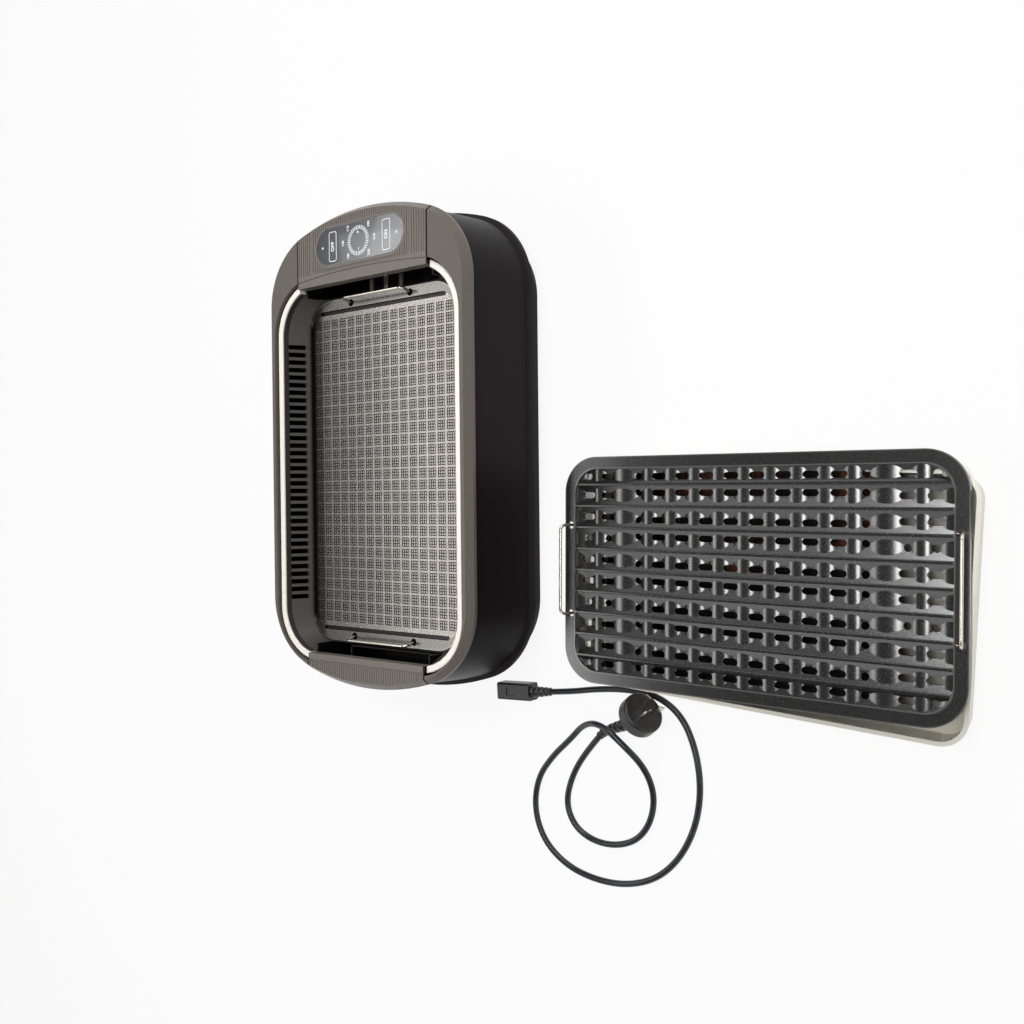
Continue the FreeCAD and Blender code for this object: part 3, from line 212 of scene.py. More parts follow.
def make_table():
    """A flat square. Camera rays see it glow white, except in the shade under the spare plate."""
    half = TABLE_HALF
    mesh = bpy.data.meshes.new("table")
    mesh.from_pydata([(-half, -half, 0), (half, -half, 0), (half, half, 0), (-half, half, 0)], [],
                     [(0, 1, 2, 3)])
    table = bpy.data.objects.new("table", mesh)
    bpy.context.scene.collection.objects.link(table)
    finish = Finish("table_top")
    lit = finish.node("ShaderNodeBsdfDiffuse", None, {"Color": TABLE_GREY})
    glow = finish.node("ShaderNodeEmission", None, {"Color": WHITE, "Strength": 1.0})
    within = finish.inside_edge(SHADE_MIDDLE, SHADE_HALF, SHADE_CORNER, SPARE_TURN)
    shade = within.above(SHADE_BLEND / 2, SHADE_BLEND)
    whitened = finish.on_white_rays() * TABLE_WHITENED * (1.0 - shade)
    seen = finish.node("ShaderNodeMixShader", None, {0: whitened, 1: lit, 2: glow})
    finish.node("ShaderNodeOutputMaterial", None, {0: seen})
    mesh.materials.append(finish.material)


def make_room():
    """Three plain backgrounds: the one that lights, a dim one for gloss, and white for the camera
    and for gloss that looks low."""
    world = bpy.data.worlds.new("studio")
    bpy.context.scene.world = world
    finish = Finish("studio", world)
    lit, dim, white = (finish.node("ShaderNodeBackground", None, {0: WHITE, 1: strength})
                       for strength in (ROOM_STRENGTH, CEILING_IN_GLOSS, 1.0))
    direction = finish.node("ShaderNodeTexCoord", output="Generated")
    height = finish.node("ShaderNodeSeparateXYZ", None, {0: direction}, 2)
    walls = 1.0 - height.above(CEILING_FROM, CEILING_BLEND)
    gloss = finish.node("ShaderNodeLightPath", output="Is Glossy Ray")
    unlit = finish.node("ShaderNodeMixShader", None, {0: gloss, 1: lit, 2: dim})
    seen = finish.node("ShaderNodeMixShader", None,
                       {0: finish.on_white_rays(walls), 1: unlit, 2: white})
    finish.node("ShaderNodeOutputWorld", None, {0: seen})


def soft_light(name, place, target, size, watts):
    """A plain rectangle of light that faces its target."""
    data = bpy.data.lights.new(name, "AREA")
    data.shape = "RECTANGLE"
    data.size, data.size_y = size
    data.energy = watts
    lamp = bpy.data.objects.new(name, data)
    lamp.location = place
    lamp.rotation_euler = (Vector(target) - Vector(place)).to_track_quat("-Z", "Y").to_euler()
    bpy.context.scene.collection.objects.link(lamp)


bpy.context.scene.view_settings.view_transform = "Standard"
photo_camera()
make_table()
make_room()
soft_light("window_light", place=(-0.1, 0.86, 1.27), target=(0.0, 0.0, 0.1),
           size=(1.5, 0.42), watts=5.4)
soft_light("ceiling_light", place=(0.2, -0.73, 1.9), target=(0.0, -0.3, 0.1),
           size=(1.5, 0.42), watts=18.5)
soft_light("side_light", place=(1.5, -0.5, 1.1), target=(0.0, -0.25, 0.05),
           size=(0.8, 0.6), watts=11.0)
soft_light("lamp_over_panel", place=(0.96, 1.72, 2.05), target=(0.22, -0.04, 0.13),
           size=(0.34, 0.22), watts=0.95)

# Casing and base: the casing is one smooth near-black moulding with a soft gloss and a faint
# orange-peel. It stands on a matte base ring and pan, moulded in a coarser grain, as are the posts
# for the board and the power inlet.


def rgb(red, green, blue):
    """A picture colour, 0 to 255, as the linear colour that renders like it."""
    def linear(part):
        part = part / 255.0
        return part / 12.92 if part <= 0.04045 else ((part + 0.055) / 1.055) ** 2.4
    return (linear(red), linear(green), linear(blue), 1.0)


def dress(material, *names):
    """Gives CAD nodes their material."""
    for name in names:
        obj = nodes[name]
        obj.data.materials.clear()
        obj.data.materials.append(material)


CASING_BLACK = rgb(20, 16, 17)
CASING_BLOOM = rgb(25, 21, 22)
BASE_BLACK = rgb(20, 17, 18)
BASE_DUST = rgb(28, 25, 26)
casing = Finish("casing_gloss")
film = casing.noise(9.0, detail=4.0, roughness=0.6)
peel = casing.noise(420.0)
dress(casing.surface(Base_Color=casing.mix(film, CASING_BLACK, CASING_BLOOM),
                     Roughness=0.34 + film * 0.14, Specular_IOR_Level=0.1,
                     Normal=casing.bump(peel, distance=0.00003, strength=0.35)), "outer_shell")
base = Finish("base_moulding")
base_dust = base.noise(40.0, detail=3.0)
base_grain = base.noise(1500.0, detail=3.0, roughness=0.6)
dress(base.surface(Base_Color=base.mix(base_dust, BASE_BLACK, BASE_DUST),
                   Roughness=0.5 + base_grain * 0.14, Specular_IOR_Level=0.12,
                   Normal=base.bump(base_grain, distance=0.00008, strength=0.6)),
      "base_ring", "bottom_pan", "board_posts", "power_inlet")

# Fan, shroud and feet: the rotor and its shroud are moulded in black nylon and the feet in rubber.
# All are matte, with a fine grain, and the body hides them in the photograph.
NYLON_BLACK = rgb(22, 22, 22)
NYLON_DUST = rgb(34, 34, 34)
nylon = Finish("black_nylon")
nylon_grain = nylon.noise(1300.0, detail=3.0)
dress(nylon.surface(Base_Color=nylon.mix(nylon.noise(60.0), NYLON_BLACK, NYLON_DUST),
                    Roughness=0.5 + nylon_grain * 0.15,
                    Normal=nylon.bump(nylon_grain, distance=0.00006, strength=0.5)),
      "fan_rotor", "fan_shroud", "rubber_feet")

# Fan motor: a drawn steel can, zinc-plated, with the slightly clouded spangle of the plating. It
# holds the windings and turns the fan's shaft.
ZINC_GREY = rgb(128, 130, 132)
ZINC_PALE = rgb(158, 160, 160)
can = Finish("motor_can")
spangle = can.noise(90.0, detail=3.0)
dress(can.surface(Base_Color=can.mix(spangle, ZINC_GREY, ZINC_PALE), Metallic=0.9,
                  Roughness=0.3 + spangle * 0.15), "fan_motor")

# Circuit boards: glass laminate under a green solder mask, with the copper areas showing through.
# One carries the touch fields under the panel, the other the power parts on posts in the base.
MASK_GREEN = rgb(18, 66, 40)
MASK_ON_COPPER = rgb(30, 96, 56)
board = Finish("board_mask")
copper_areas = board.noise(140.0).above(0.5, blend=0.05)
dress(board.surface(Base_Color=board.mix(copper_areas, MASK_GREEN, MASK_ON_COPPER), Roughness=0.36,
                    Normal=board.bump(copper_areas, distance=0.00003, strength=0.5)),
      "touch_board", "power_board")

# Cooking well: pressed steel with a grey satin high-temperature coat. The air slots are punched in
# its back wall, a deep pan of the same sheet hangs under the plate, and its thin edge stands up
# inside the trim.
LINER_GREY = rgb(70, 66, 63)
LINER_FLECK = rgb(88, 84, 80)
LIP_THICKNESS = 0.0006
LIP_TOP = 0.1259
LIP_GAP = 0.00005
LIP_STEPS = 48
TRIM_WIDTH = 0.0072
TRIM_CORNER = 0.0600
WELL_MIDDLE_X = -0.0225
WELL_HALF_LENGTH = 0.2150
MODULE_GAP = 0.0012                 # between the lip's ends and the end modules
liner = Finish("liner_coat")
liner_grain = liner.noise(1500.0, detail=3.0, roughness=0.6)
liner_cloud = liner.noise(12.0, detail=3.0)
liner_colour = liner.mix(liner_grain.above(0.58, blend=0.2), LINER_GREY, LINER_FLECK)
liner_grey = liner.surface(Base_Color=liner_colour, Metallic=0.25,
                           Roughness=0.33 + liner_cloud * 0.12,
                           Normal=liner.bump(liner_grain, distance=0.00004, strength=0.5))
dress(liner_grey, "inner_liner", "lower_well")


def piece_of(name, points, faces, material, body, smooth=True):
    """A finished mesh piece, placed in its mesh, riding on its body."""
    mesh = bpy.data.meshes.new(name)
    mesh.from_pydata(points.tolist(), [], faces)
    mesh.materials.append(material)
    mesh.polygons.foreach_set("use_smooth", [smooth] * len(mesh.polygons))
    mesh.update()
    piece = bpy.data.objects.new(name, mesh)
    bpy.context.scene.collection.objects.link(piece)
    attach(piece, body)
    return piece


def grid_faces(rows, columns, close_rows=False, close_columns=True):
    """Faces of a grid whose points are numbered row by row: each point, the next in its row and the
    two beyond them in the next row. Closed, the last row or column meets the first again."""
    point = np.arange(rows * columns).reshape(rows, columns)
    if close_rows:
        point = np.vstack([point, point[:1]])
    if close_columns:
        point = np.hstack([point, point[:, :1]])
    corners = point[:-1, :-1], point[:-1, 1:], point[1:, 1:], point[1:, :-1]
    return np.stack(corners, axis=-1).reshape(-1, 4).tolist()


def round_outline(middle, half, corner, steps=6):
    """Rectangle with round corners: a quarter circle of points about each corner's centre."""
    angle = np.linspace(0.0, np.pi / 2, steps)
    quarters = []
    for turn, (side_x, side_y) in enumerate([(1, 1), (-1, 1), (-1, -1), (1, -1)]):
        centre = np.array((middle[0] + side_x * (half[0] - corner),
                           middle[1] + side_y * (half[1] - corner)))
        around = angle + turn * np.pi / 2
        quarters.append(centre + corner * np.column_stack([np.cos(around), np.sin(around)]))
    return np.vstack(quarters)


def liner_lip(name, side, right_end, left_end):
    """The liner's upright edge inside the trim: a wall between two round-cornered outlines, from
    one end module round the well's long side to the other."""
    middle = (WELL_MIDDLE_X, 0.0)
    trim_half_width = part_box("trim_back")[1][1]
    half = np.array((WELL_HALF_LENGTH, trim_half_width)) - TRIM_WIDTH - LIP_GAP
    corner = TRIM_CORNER - TRIM_WIDTH - LIP_GAP
    near_trim = round_outline(middle, half, corner, LIP_STEPS)[:2 * LIP_STEPS]
    near_well = round_outline(middle, half - LIP_THICKNESS, corner - LIP_THICKNESS,
                              LIP_STEPS)[:2 * LIP_STEPS]
    limit = np.where(near_trim[:, 0] > middle[0], right_end, left_end)
    kept = near_trim[:, 1] > limit
    near_trim, near_well = near_trim[kept] * (1, side), near_well[kept] * (1, side)
    total = len(near_trim)
    base_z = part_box("inner_liner")[1][2] - LIP_THICKNESS
    lines = [(near_trim, base_z), (near_trim, LIP_TOP), (near_well, LIP_TOP), (near_well, base_z)]
    points = np.vstack([np.column_stack([line, np.full(total, level)]) for line, level in lines])
    starts = np.arange(len(lines)) * total
    faces = grid_faces(len(lines), total, close_rows=True, close_columns=False)
    faces += [starts.tolist(), (starts[::-1] + total - 1).tolist()]
    if side > 0:
        faces = [face[::-1] for face in faces]
    return piece_of(name, points, faces, liner_grey, "root", smooth=False)


module_ends = [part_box(name)[1][1] + MODULE_GAP for name in ("control_housing", "left_end_housing")]
liner_lip("liner_lip_back", 1, *module_ends)
liner_lip("liner_lip_front", -1, *module_ends)

# End panels: black glossy heat-resistant mouldings. They close the well's two ends, under the end
# modules.
PANEL_BLACK = rgb(9, 9, 9)
PANEL_FILM = rgb(16, 15, 15)
end_panel = Finish("end_panel_gloss")
panel_cloud = end_panel.noise(30.0, detail=3.0)
dress(end_panel.surface(Base_Color=end_panel.mix(panel_cloud, PANEL_BLACK, PANEL_FILM),
                        Specular_IOR_Level=0.15, Roughness=0.22 + panel_cloud * 0.2),
      "right_inner_panel", "left_inner_panel")

# Heater: a round nickel sheath, browned by heat along its hot run. It lies under the griddle plate
# on plain pressed bars.
SHEATH_BROWN = rgb(92, 84, 76)
SHEATH_PALE = rgb(126, 112, 98)
heater = Finish("heater_sheath")
scale_spots = heater.noise(120.0, detail=4.0, roughness=0.65)
browned = heater.mix(scale_spots.above(0.5, blend=0.3), SHEATH_BROWN, SHEATH_PALE)
dress(heater.surface(Base_Color=browned, Metallic=0.8, Roughness=0.38 + scale_spots * 0.2,
                     Normal=heater.bump(scale_spots, distance=0.00005, strength=0.5)),
      "heating_element", "element_supports")

# Terminal block: fired ceramic, off-white and a little gritty. It holds the heater's ends and the
# thermostat's probe at the panel's end of the well.
CERAMIC_GREY = rgb(216, 210, 198)
CERAMIC_WHITE = rgb(230, 225, 214)
ceramic = Finish("ceramic_block")
grit = ceramic.noise(700.0, detail=3.0)
dress(ceramic.surface(Base_Color=ceramic.mix(grit, CERAMIC_GREY, CERAMIC_WHITE), Roughness=0.66,
                      Normal=ceramic.bump(grit, distance=0.00005, strength=0.5)), "terminal_block")

# Rim and end modules: warm grey moulded plastic with a fine satin texture and a trace of metallic
# pigment. The modules are the rim's plastic, painted lighter as painted light. Their ribs are
# moulded in, and painted shade darkens the seam groove where they meet the rim.
RIM_TONES = rgb(92, 85, 79), rgb(124, 117, 110)
MODULE_TONES_PAINTED_LIGHTER = rgb(106, 99, 92), rgb(140, 133, 125)
SEAM_SHADE_BLACK = rgb(12, 11, 10)
SEAM_WIDTH = 0.0009
SEAM_BLEND = 0.0004


def satin_plastic(name, dark, pale, seam_at=None):
    """The two tones by the pigment, and painted shade in the seam at both ends of a module."""
    finish = Finish(name)
    pigment = finish.noise(2400.0, roughness=0.7)
    cloud = finish.noise(11.0, detail=3.0)
    colour = finish.mix(pigment.above(0.56, blend=0.22), dark, pale)
    if seam_at:
        # Painted shade: a near-black band at both ends of a module, in the groove to the rim.
        seam = finish.axes()[1].math("ABSOLUTE").above(seam_at - SEAM_WIDTH, SEAM_BLEND)
        colour = finish.mix(seam, colour, SEAM_SHADE_BLACK)
    return finish.surface(Base_Color=colour, Roughness=0.3 + cloud * 0.1, Metallic=0.08,
                          Specular_IOR_Level=0.3,
                          Normal=finish.bump(pigment, distance=0.000035, strength=0.5))


dress(satin_plastic("rim_satin", *RIM_TONES), "bezel_front", "bezel_back")
# The modules' lighter tones are painted light; their plastic is the same as the rim's.
dress(satin_plastic("cover_satin", *MODULE_TONES_PAINTED_LIGHTER), "control_cover")
for module in ("control_housing", "left_end_housing"):
    dress(satin_plastic(module + "_satin", *MODULE_TONES_PAINTED_LIGHTER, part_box(module)[1][1]), module)

# Trim: a cream enamelled steel strip with a rolled inner edge, in a back and a front half. It is
# pressed in between the rim and the well.
CREAM_PALE = rgb(253, 249, 239)
CREAM_WARM = rgb(248, 244, 233)
trim = Finish("trim_enamel")
settle = trim.noise(35.0, detail=3.0)
ripple = trim.noise(600.0)
dress(trim.surface(Base_Color=trim.mix(settle, CREAM_PALE, CREAM_WARM),
                   Roughness=0.30 + settle * 0.12,
                   Normal=trim.bump(ripple, distance=0.00002, strength=0.3)),
      "trim_front", "trim_back")

# Touch panel: a sheet of dark glass laid into the ribbed cover, with pale printed marks that lie on
# it as a thin film of ink. The marks are a ring of ticks, plain numbers, signs and two buttons.
GLASS_DARK = rgb(66, 68, 74)
GLASS_SMEAR = rgb(82, 83, 87)
GLASS_EDGE = rgb(200, 202, 202)
GLASS_EDGE_SHOWS = 0.5              # how strongly the ground edge of the sheet catches the light
GLASS_EDGE_WIDTH = 0.0006
GLASS_EDGE_BLEND = 0.0004
INK_GREY = rgb(240, 243, 246)
INK_WHITE = rgb(250, 251, 252)
INK_THICKNESS = 0.00008
INK_SUNK = INK_THICKNESS / 4        # how far the ink reaches into the glass, to leave no gap
PANEL_MIDDLE = (0.224, 0.0)
TICKS = 36
TICK_INNER = 0.0119
TICK_OUTER = 0.0163
TICK_HALF_WIDTH = 0.00054
LAMP_SPOTS = [(0.224, 0.056), (0.2235, -0.057)]
LAMP_SPOT_RADIUS = 0.0013
LAMP_SPOT_CORNER = LAMP_SPOT_RADIUS * 0.99
BUTTONS = [("OFF", 0.2235, 0.0398), ("ON", 0.2235, -0.0418)]
BUTTON_HALF = (0.0165, 0.0060)
BUTTON_CORNER = 0.0028
BUTTON_LINE = 0.00085
WORD_SIZE = 0.0062
NUMBERS = [("100", 0.209, 0.0155), ("130", 0.224, 0.0235), ("160", 0.239, 0.0155),
           ("190", 0.239, -0.0160), ("210", 0.224, -0.0245), ("230", 0.209, -0.0160)]
NUMBER_SIZE = 0.0044
SIGNS = [("+", 0.2330, 0.0060), ("-", 0.2150, 0.0075)]
BOLDNESS = 0.035                    # how far a letter's outline moves out, as a share of its size
glass = Finish("panel_glass")
smear = glass.noise(16.0, detail=4.0, roughness=0.6)
glass_low, glass_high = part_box("control_glass")
glass_half = (glass_high - glass_low) / 2
within_glass = glass.inside_edge((glass_low + glass_high) / 2, glass_half, min(glass_half[:2]))
glass_edge = 1.0 - within_glass.above(GLASS_EDGE_WIDTH, GLASS_EDGE_BLEND)
glass_colour = glass.mix(glass_edge * GLASS_EDGE_SHOWS, glass.mix(smear, GLASS_DARK, GLASS_SMEAR),
                         GLASS_EDGE)
dress(glass.surface(Base_Color=glass_colour, Roughness=0.05 + smear * 0.16, Coat_Weight=0.3),
      "control_glass")
ink = Finish("panel_ink")
panel_ink = ink.surface(Base_Color=ink.mix(ink.noise(900.0), INK_GREY, INK_WHITE), Roughness=0.5)


class Print:
    """Gathers flat marks into one mesh of thin slabs."""

    def __init__(self, low, high):
        self.low = low
        self.high = high
        self.points = []
        self.faces = []
        self.count = 0

    def add(self, points, faces):
        """Appends a mark's points and its faces, numbered on from the marks before it."""
        self.faces += [tuple(corner + self.count for corner in face) for face in faces]
        self.points.append(points)
        self.count += len(points)

    def slab(self, outline):
        """A closed outline, counter-clockwise, with a bottom, a top and a wall."""
        total = len(outline)
        low = np.column_stack([outline, np.full(total, self.low)])
        high = np.column_stack([outline, np.full(total, self.high)])
        ends = [list(range(total))[::-1], list(range(total, 2 * total))]
        self.add(np.vstack([low, high]), grid_faces(2, total) + ends)

    def band(self, outer, inner):
        """The strip between two outlines with the same number of points."""
        lines = [(outer, self.low), (outer, self.high), (inner, self.high), (inner, self.low)]
        rows = [np.column_stack([line, np.full(len(line), level)]) for line, level in lines]
        self.add(np.vstack(rows), grid_faces(len(lines), len(outer), close_rows=True))

    def word(self, text, size, middle):
        """A word or number, right along +X and up along +Y, about its middle."""
        curve = bpy.data.curves.new(text, "FONT")
        curve.body = text
        curve.size = size
        curve.offset = size * BOLDNESS
        curve.align_x = "CENTER"
        curve.align_y = "CENTER"
        curve.extrude = (self.high - self.low) / 2
        holder = bpy.data.objects.new(text, curve)
        bpy.context.scene.collection.objects.link(holder)
        shaped = holder.evaluated_get(bpy.context.evaluated_depsgraph_get())
        mesh = bpy.data.meshes.new_from_object(shaped)
        points = np.empty(3 * len(mesh.vertices))
        mesh.vertices.foreach_get("co", points)
        points = points.reshape(-1, 3) + (middle[0], middle[1], (self.low + self.high) / 2)
        self.add(points, [tuple(polygon.vertices) for polygon in mesh.polygons])
        bpy.data.objects.remove(holder)
        bpy.data.meshes.remove(mesh)


def panel_print():
    """Ticks as small slabs turned about the panel's middle; the rest laid straight on the glass."""
    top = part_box("control_glass")[1][2]
    marks = Print(top - INK_SUNK, top + INK_THICKNESS)
    tick = np.array([(TICK_INNER, -TICK_HALF_WIDTH), (TICK_OUTER, -TICK_HALF_WIDTH),
                     (TICK_OUTER, TICK_HALF_WIDTH), (TICK_INNER, TICK_HALF_WIDTH)])
    for number in range(TICKS):
        angle = 2 * math.pi * number / TICKS
        turn = np.array([(math.cos(angle), math.sin(angle)), (-math.sin(angle), math.cos(angle))])
        marks.slab(tick @ turn + PANEL_MIDDLE)
    for spot in LAMP_SPOTS:
        marks.slab(round_outline(spot, (LAMP_SPOT_RADIUS, LAMP_SPOT_RADIUS), LAMP_SPOT_CORNER))
    button_inside = [half - BUTTON_LINE for half in BUTTON_HALF]
    for word, x, y in BUTTONS:
        marks.band(round_outline((x, y), BUTTON_HALF, BUTTON_CORNER),
                   round_outline((x, y), button_inside, BUTTON_CORNER - BUTTON_LINE))
        marks.word(word, WORD_SIZE, (x, y))
    for number, x, y in NUMBERS:
        marks.word(number, NUMBER_SIZE, (x, y))
    for sign, x, size in SIGNS:
        marks.word(sign, size, (x, PANEL_MIDDLE[1]))
    return piece_of("panel_print", np.vstack(marks.points), marks.faces, panel_ink, "root",
                    smooth=False)


panel_print()

# Handles, pins and screws: polished stainless steel with the long fine marks of drawing. Each plate
# has two bails of bent wire that turn loosely in holes in its rim.
STEEL_PALE = rgb(226, 220, 206)
STEEL_HANDLED = rgb(200, 193, 178)
bright = Finish("bright_wire")
draw = bright.noise(900.0, detail=3.0, roughness=0.6)
handled = bright.noise(45.0, detail=3.0)
dress(bright.surface(Base_Color=bright.mix(handled, STEEL_PALE, STEEL_HANDLED), Metallic=1.0,
                     Roughness=0.13 + draw * 0.16,
                     Normal=bright.bump(draw, distance=0.00001, strength=0.4)),
      "griddle_handle_left", "griddle_handle_right", "grill_handle_near", "grill_handle_far",
      "thermostat_probe", "base_screws", "plug_pins", "inlet_pins", "fan_shaft")

# Spring clip: blued spring wire, nearly black, with a soft shine. It is bent to shape and steadies
# the griddle plate in the well.
BLUED = rgb(58, 56, 56)
BLUED_RUBBED = rgb(84, 78, 72)
spring = Finish("blued_spring")
bluing = spring.noise(70.0, detail=3.0)
dress(spring.surface(Base_Color=spring.mix(bluing, BLUED, BLUED_RUBBED), Metallic=0.8,
                     Roughness=0.34 + bluing * 0.15), "plate_spring_clip")

# Griddle plate: cast aluminium under a sparkling grey non-stick coat. The raised grid between the
# cells is painted light as a painted highlight, and the cells and gutters darker as painted shade.
# The edge by the air slots is painted dark as a painted reflection of the liner, the outer edge has
# a painted highlight, and nine studs stand in each cell.
LAND_GREY = rgb(126, 123, 118)
LAND_FLAKE = rgb(184, 180, 174)
LAND_WORN = rgb(96, 93, 90)
LAND_WORN_SHARE = 0.35
CELL_GREY = rgb(46, 44, 42)
CELL_FLAKE = rgb(96, 93, 90)
GUTTER_SHADE_BLACK = rgb(24, 23, 22)
PAINTED_LINER_REFLECTION = rgb(34, 32, 31)
PAINTED_LINER_REFLECTION_SHARE = 0.65
EDGE_HIGHLIGHT = rgb(150, 147, 142)
EDGE_HIGHLIGHT_SHARE = 0.6
GRIDDLE_LAND_MM = 98.8              # height of the raised grid's top
LAND_FROM_MM = GRIDDLE_LAND_MM - 0.3
FLANGE_FROM_MM = GRIDDLE_LAND_MM + 0.5
LAND_BLEND_MM = 0.25
# Painted reflection: the flange is painted darker than the land, as if it mirrored the dark liner.
FLANGE_PAINTED_DARKER = 0.4                 # the flange's share of the land's brightness that is lost
GUTTER_BELOW_MM = GRIDDLE_LAND_MM - 1.4
GUTTER_BLEND_MM = 0.6
PAINTED_LINER_REFLECTION_FROM = 0.0940
PAINTED_LINER_REFLECTION_BLEND = 0.008
PLATE_CORNER = 0.036
EDGE_HIGHLIGHT_WIDTH = 0.0010
GRIDDLE_CELL_DROP_MM = 0.7
GRIDDLE_CELLS = (28, 16)
GRIDDLE_CELL_PITCH_MM = (12.47, 13.42)
STUDS_ACROSS = 3
STUD_PITCH_MM = (3.15, 3.25)
STUD_HALF_MM = 1.3
STUD_HEIGHT_MM = 0.5
STUD_SUNK_MM = 0.05
STUD_CORNERS = [(1.0, -0.55), (1.0, 0.55), (0.55, 1.0), (-0.55, 1.0),
                (-1.0, 0.55), (-1.0, -0.55), (-0.55, -1.0), (0.55, -1.0)]
STUD_TOP_SHARE = 0.8
griddle = Finish("griddle_coat")
flake = griddle.noise(1300.0, detail=3.0, roughness=0.8)
flakes = flake.above(0.55, blend=0.25)
worn = griddle.noise(26.0, detail=4.0, roughness=0.6)
across_plate, height = griddle.axes()[1:]
height_mm = height * 1000.0
flange = height_mm.above(FLANGE_FROM_MM, LAND_BLEND_MM)
# Painted highlight: the raised grid gets the light land colour, the flange somewhat less.
raised = height_mm.above(LAND_FROM_MM, LAND_BLEND_MM) - flange * FLANGE_PAINTED_DARKER
# Painted shade: the gutters below the grid are painted near-black.
gutter_shade = 1.0 - height_mm.above(GUTTER_BELOW_MM, GUTTER_BLEND_MM)
# Painted reflection: the back edge by the air slots is painted dark, as a mirror of the dark liner.
painted_liner_reflection = across_plate.above(PAINTED_LINER_REFLECTION_FROM, PAINTED_LINER_REFLECTION_BLEND)
plate_low, plate_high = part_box("griddle_plate")
plate_half = (plate_high - plate_low) / 2
within_griddle = griddle.inside_edge((plate_low + plate_high) / 2, plate_half, PLATE_CORNER)
# Painted highlight: a thin pale line along the plate's outer edge.
griddle_edge_highlight = 1.0 - within_griddle.above(EDGE_HIGHLIGHT_WIDTH, EDGE_HIGHLIGHT_WIDTH)
land_highlight_colour = griddle.mix(worn * LAND_WORN_SHARE, griddle.mix(flakes, LAND_GREY, LAND_FLAKE),
                          LAND_WORN)
cell_shade_colour = griddle.mix(gutter_shade, griddle.mix(flakes, CELL_GREY, CELL_FLAKE), GUTTER_SHADE_BLACK)
griddle_colour = griddle.mix(raised, cell_shade_colour, land_highlight_colour)
griddle_colour = griddle.mix(painted_liner_reflection * PAINTED_LINER_REFLECTION_SHARE, griddle_colour, PAINTED_LINER_REFLECTION)
griddle_colour = griddle.mix(griddle_edge_highlight * EDGE_HIGHLIGHT_SHARE, griddle_colour, EDGE_HIGHLIGHT)
griddle_coat = griddle.surface(Base_Color=griddle_colour, Metallic=0.85,
                               Roughness=0.22 - raised * 0.03 + worn * 0.06,
                               Normal=griddle.bump(flake, distance=0.00006, strength=0.6))
dress(griddle_coat, "griddle_plate")


def griddle_studs():
    """Each stud is a square pad with cut corners: a foot ring, a smaller top ring and a flat top.
    Studs stand at equal steps about the middle of each cell, and cells about the plate's middle."""
    def places(middle, count, pitch, stud_pitch):
        """Every stud's place along one way."""
        cells = (np.arange(count) - (count - 1) / 2) * pitch
        studs = (np.arange(STUDS_ACROSS) - (STUDS_ACROSS - 1) / 2) * stud_pitch
        return middle + (cells[:, None] + studs[None, :]).ravel()

    middle = (plate_low + plate_high) * 1000.0 / 2
    along = [places(middle[axis], GRIDDLE_CELLS[axis], GRIDDLE_CELL_PITCH_MM[axis],
                    STUD_PITCH_MM[axis]) for axis in range(2)]
    centres = np.stack(np.meshgrid(*along, indexing="ij"), axis=-1).reshape(-1, 1, 2)
    around = STUD_HALF_MM * np.array(STUD_CORNERS)
    floor = GRIDDLE_LAND_MM - GRIDDLE_CELL_DROP_MM
    rings = [(centres + around, floor - STUD_SUNK_MM),
             (centres + STUD_TOP_SHARE * around, floor + STUD_HEIGHT_MM)]
    rings = [np.dstack([ring, np.full(ring.shape[:2], level)]) for ring, level in rings]
    points = np.concatenate(rings, axis=1).reshape(-1, 3) / 1000.0
    sides = len(around)
    side = np.arange(sides)
    first = np.arange(0, len(points), 2 * sides)[:, None]
    walls = (first[:, None] + np.array(grid_faces(2, sides))).reshape(-1, 4)
    faces = walls.tolist() + (first + sides + side).tolist() + (first + side[::-1]).tolist()
    return piece_of("griddle_studs", points, faces, griddle_coat, "griddle",
                    smooth=False)


griddle_studs()

# Ridged plate: the same casting with bars and slotted channels. Its coat is darker, glossy and
# speckled like enamel, with a painted highlight along the bars' tops and the rim's edges.
RIDGED_BLACK = rgb(8, 8, 8)
RIDGED_SPECK = rgb(104, 102, 98)
RIDGED_HIGHLIGHT = rgb(120, 119, 118)
BAR_TOP_FROM_MM = 37.45
BAR_TOP_BLEND_MM = 0.3
BAR_TOPS_HIGHLIGHT = 0.02
RIM_EDGES_HIGHLIGHT = 0.5
MOST_HIGHLIGHT = 0.6
SPARE_MIDDLE = (-0.1327, -0.3977)
RIDGED_RIM = 0.0121                 # width of the flat rim
ridged = Finish("ridged_coat")
speck = ridged.noise(1050.0, detail=3.0, roughness=0.75)
ridged_cloud = ridged.noise(20.0, detail=3.0)
bar_tops = (ridged.axes()[2] * 1000.0).above(BAR_TOP_FROM_MM, BAR_TOP_BLEND_MM)
within_spare = ridged.inside_edge(SPARE_MIDDLE, plate_half, PLATE_CORNER, SPARE_TURN)
outer_edge = 1.0 - within_spare.above(EDGE_HIGHLIGHT_WIDTH, EDGE_HIGHLIGHT_WIDTH)
inner_edge = 1.0 - (within_spare - RIDGED_RIM).math("ABSOLUTE").above(EDGE_HIGHLIGHT_WIDTH, EDGE_HIGHLIGHT_WIDTH)
rim_edges = outer_edge + inner_edge * bar_tops
# Painted highlight: the bars' tops and the rim's edges are painted lighter.
ridged_highlight = (bar_tops * BAR_TOPS_HIGHLIGHT + rim_edges * RIM_EDGES_HIGHLIGHT).math("MINIMUM", MOST_HIGHLIGHT)
ridged_colour = ridged.mix(speck.above(0.64, blend=0.12), RIDGED_BLACK, RIDGED_SPECK)
ridged_colour = ridged.mix(ridged_highlight, ridged_colour, RIDGED_HIGHLIGHT)
dress(ridged.surface(Base_Color=ridged_colour, IOR=2.1, Roughness=0.17 + ridged_cloud * 0.07,
                     Normal=ridged.bump(speck, distance=0.00006, strength=0.5)), "grill_plate")

